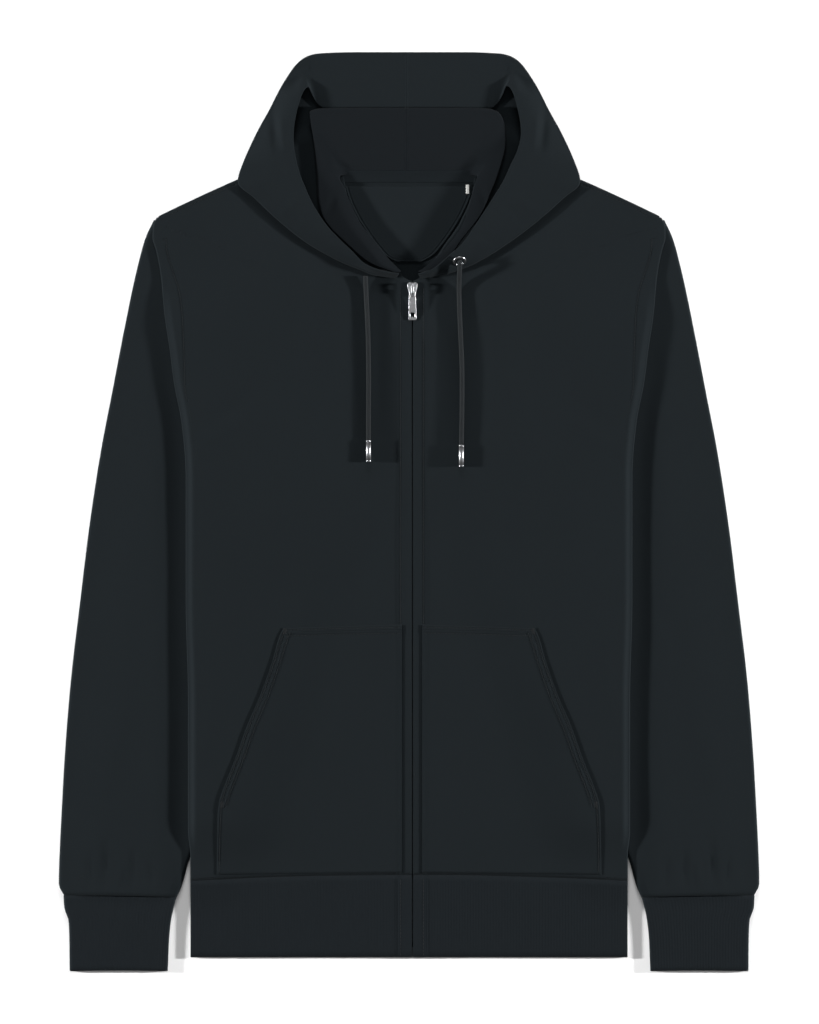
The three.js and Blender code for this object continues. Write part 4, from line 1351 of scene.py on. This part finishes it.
class HOODIE_OT_zip(bpy.types.Operator):
    """Make the zip's tapes, teeth, end box, slider and bail"""

    bl_idname = "hoodie.zip"
    bl_label = "Zip"

    def execute(self, context):
        for name, side in SIDES:
            y = np.linspace(-376, 196, 240)[:, None]
            x = ZIP_X + side * np.linspace(0.3, 8, 9)[None, :]
            mesh = wall(f"zip_strip_{name}", spread(x, y, lift(x, y) + 2.9), PATCH_WALL, side)
            finish(mesh, mesh.name, material("tape"), nodes=[f"zip_tape_{name}"])
        pitch = context.scene.hoodie_sizes.tooth / MM
        places = [(side, k + (side > 0) / 2) for k in range(int(TEETH_RUN / pitch)) for side in (-1, 1)]
        teeth = [tooth(side, TEETH_FROM + pitch * at) for side, at in places]
        finish(joined("zip_teeth", teeth), "zip_teeth", material("teeth"))
        metal = material("metal")
        box = rounded([(-4, -3.75), (4, -3.75), (4, 3.75), (-4, 3.75)], 0.9)
        mesh = plate("zip_end", [box], 1.2, 0.3, lambda x, y, z: (ZIP_X + x, y + BOX_AT[0], z + BOX_AT[1]))
        finish(mesh, "zip_end", material("teeth"), nodes=["zip_box"])
        outline = [
            (-2.6, -6.5), (2.6, -6.5), (3.3, -2), (4.6, 3.4), (4.2, 5.4), (2.2, 6.2), (0, 5.2), (-2.2, 6.2),
            (-4.2, 5.4), (-4.6, 3.4), (-3.3, -2),
        ]
        low = rounded(outline, 1.2)
        crown = rounded([(x * 0.8, y * 0.82 - 0.2) for x, y in outline], 1.2)

        def above(rise):
            return lambda x, y, z: (ZIP_X + x, y + SLIDER_Y, z + SLIDER_Z + rise)

        parts = [
            plate("slider_low", [low], 1.5, 0.45, above(0.75)),
            plate("slider_high", [crown], 0.9, 0.35, above(1.75)),
        ]
        finish(joined("zip_runner", parts), "zip_runner", metal, nodes=["zip_slider"])
        arch = [
            (-4.6, 0), (-3.2, 0), (-3.2, 2.4), (3.2, 2.4), (3.2, 0), (4.6, 0), (4.6, 2.6), (3.6, 3.6),
            (-3.6, 3.6), (-4.6, 2.6),
        ]

        def upright(x, y, z):
            return ZIP_X + z, x + SLIDER_Y, y + SLIDER_Z + 2.5

        mesh = plate("zip_arch", [rounded(arch, 0.7)], 2.4, 0.4, upright)
        finish(mesh, "zip_arch", metal, nodes=["zip_bail"])
        return {"FINISHED"}


class HOODIE_OT_pull(bpy.types.Operator):
    """Make the zip's pull tab, which swings on the slider's bail"""

    bl_idname = "hoodie.pull"
    bl_label = "Zip pull"

    def execute(self, context):
        tilt = math.radians(PULL_TILT)
        foot = 0.9 - PULL_LENGTH
        rim = rounded([(-2.8, 0.9), (2.8, 0.9), (3.5, foot), (-3.5, foot)], 1.1, 8)
        top = rounded([(-1.7, -0.9), (1.7, -0.9), (1.7, -5), (-1.7, -5)], 0.4)
        hole = rounded([(-1.8, foot + 6.5), (1.8, foot + 6.5), (1.8, foot + 2.6), (-1.8, foot + 2.6)], 0.4)

        def place(x, y, z):
            return (
                ZIP_X + x, PULL_AT[0] + y * math.cos(tilt) - z * math.sin(tilt),
                PULL_AT[1] + y * math.sin(tilt) + z * math.cos(tilt),
            )

        mesh = plate("pull_tab", [rim, top, hole], 1.1, 0.28, place)
        finish(mesh, "pull_tab", material("metal"), body="pull", nodes=["zip_pull"])
        return {"FINISHED"}


class HOODIE_OT_eyelet(bpy.types.Operator):
    """Make the eyelet that the right end of the cord comes out of"""

    bl_idname = "hoodie.eyelet"
    bl_label = "Eyelet"

    def execute(self, context):
        profile = (
            (3.4, 0.0), (3.4, 0.5), (3.55, 0.85), (3.9, 1.05), (4.4, 1.1), (5.0, 0.95), (5.5, 0.65),
            (5.8, 0.25), (5.8, 0),
        )
        angle = np.linspace(0, 2 * np.pi, 65)[:-1]
        facing = Vector(EYELET_FACING).normalized()
        side = facing.orthogonal().normalized()
        up = facing.cross(side)
        seat = np.array(EYELET_AT)
        ring = np.outer(np.cos(angle), side) + np.outer(np.sin(angle), up)
        points = np.concatenate([seat + ring * radius + np.array(facing) * high for radius, high in profile])
        n, faces = len(angle), []
        for here in range(0, len(points), n):
            above = (here + n) % len(points)
            for c in range(n):
                d = (c + 1) % n
                faces.append((here + c, here + d, above + d, above + c))
        mesh = faced_out(mesh_of("eyelet", points, faces))
        finish(mesh, "eyelet", material("metal"), nodes=["eyelet_right"])
        return {"FINISHED"}


class HOODIE_OT_sewing(bpy.types.Operator):
    """Sew the lines of stitches beside the zip and down the waistband, and round the armholes and shoulders
    """

    bl_idname = "hoodie.sewing"
    bl_label = "Stitches"

    def execute(self, context):
        for name, side in SIDES:
            lines = [zip_line(side, 9), armhole_line(side), shoulder_line(side)]
            lines = [on_front(line, 0.05) for line in lines]
            band = zip_line(side, 9, BAND_END + 1, -317)
            lines.append(np.column_stack([band, lift(*band.T) + PLY + zip_ridge(band[:, 0]) + 0.1]))
            sewn(f"front_stitches_{name}", lines)
        return {"FINISHED"}


MAKERS = (
    HOODIE_OT_stage, HOODIE_OT_cords, HOODIE_OT_body, HOODIE_OT_sleeves, HOODIE_OT_ribs, HOODIE_OT_pockets,
    HOODIE_OT_hood, HOODIE_OT_lining, HOODIE_OT_neck, HOODIE_OT_zip, HOODIE_OT_pull, HOODIE_OT_eyelet,
    HOODIE_OT_sewing,
)


class HOODIE_PT_panel(bpy.types.Panel):
    """Buttons for each group of pieces, with the sizes and colours above them"""

    bl_label = "Hoodie"
    bl_idname = "HOODIE_PT_panel"
    bl_space_type = "VIEW_3D"
    bl_region_type = "UI"
    bl_category = "Hoodie"

    def draw(self, context):
        for group in (context.scene.hoodie_colours, context.scene.hoodie_sizes):
            for key in group.bl_rna.properties.keys():
                if key not in ("rna_type", "name"):
                    self.layout.prop(group, key)
        for maker in MAKERS:
            self.layout.operator(maker.bl_idname)


CLASSES = (HoodieColours, HoodieSizes, *MAKERS, HOODIE_PT_panel)


def register():
    for each in CLASSES:
        bpy.utils.register_class(each)
    bpy.types.Scene.hoodie_colours = PointerProperty(type=HoodieColours)
    bpy.types.Scene.hoodie_sizes = PointerProperty(type=HoodieSizes)


def unregister():
    del bpy.types.Scene.hoodie_sizes
    del bpy.types.Scene.hoodie_colours
    for each in reversed(CLASSES):
        bpy.utils.unregister_class(each)


def main():
    register()
    for maker in MAKERS:
        group, name = maker.bl_idname.split(".")
        getattr(getattr(bpy.ops, group), name)()
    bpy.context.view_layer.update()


if __name__ == "__main__":
    main()
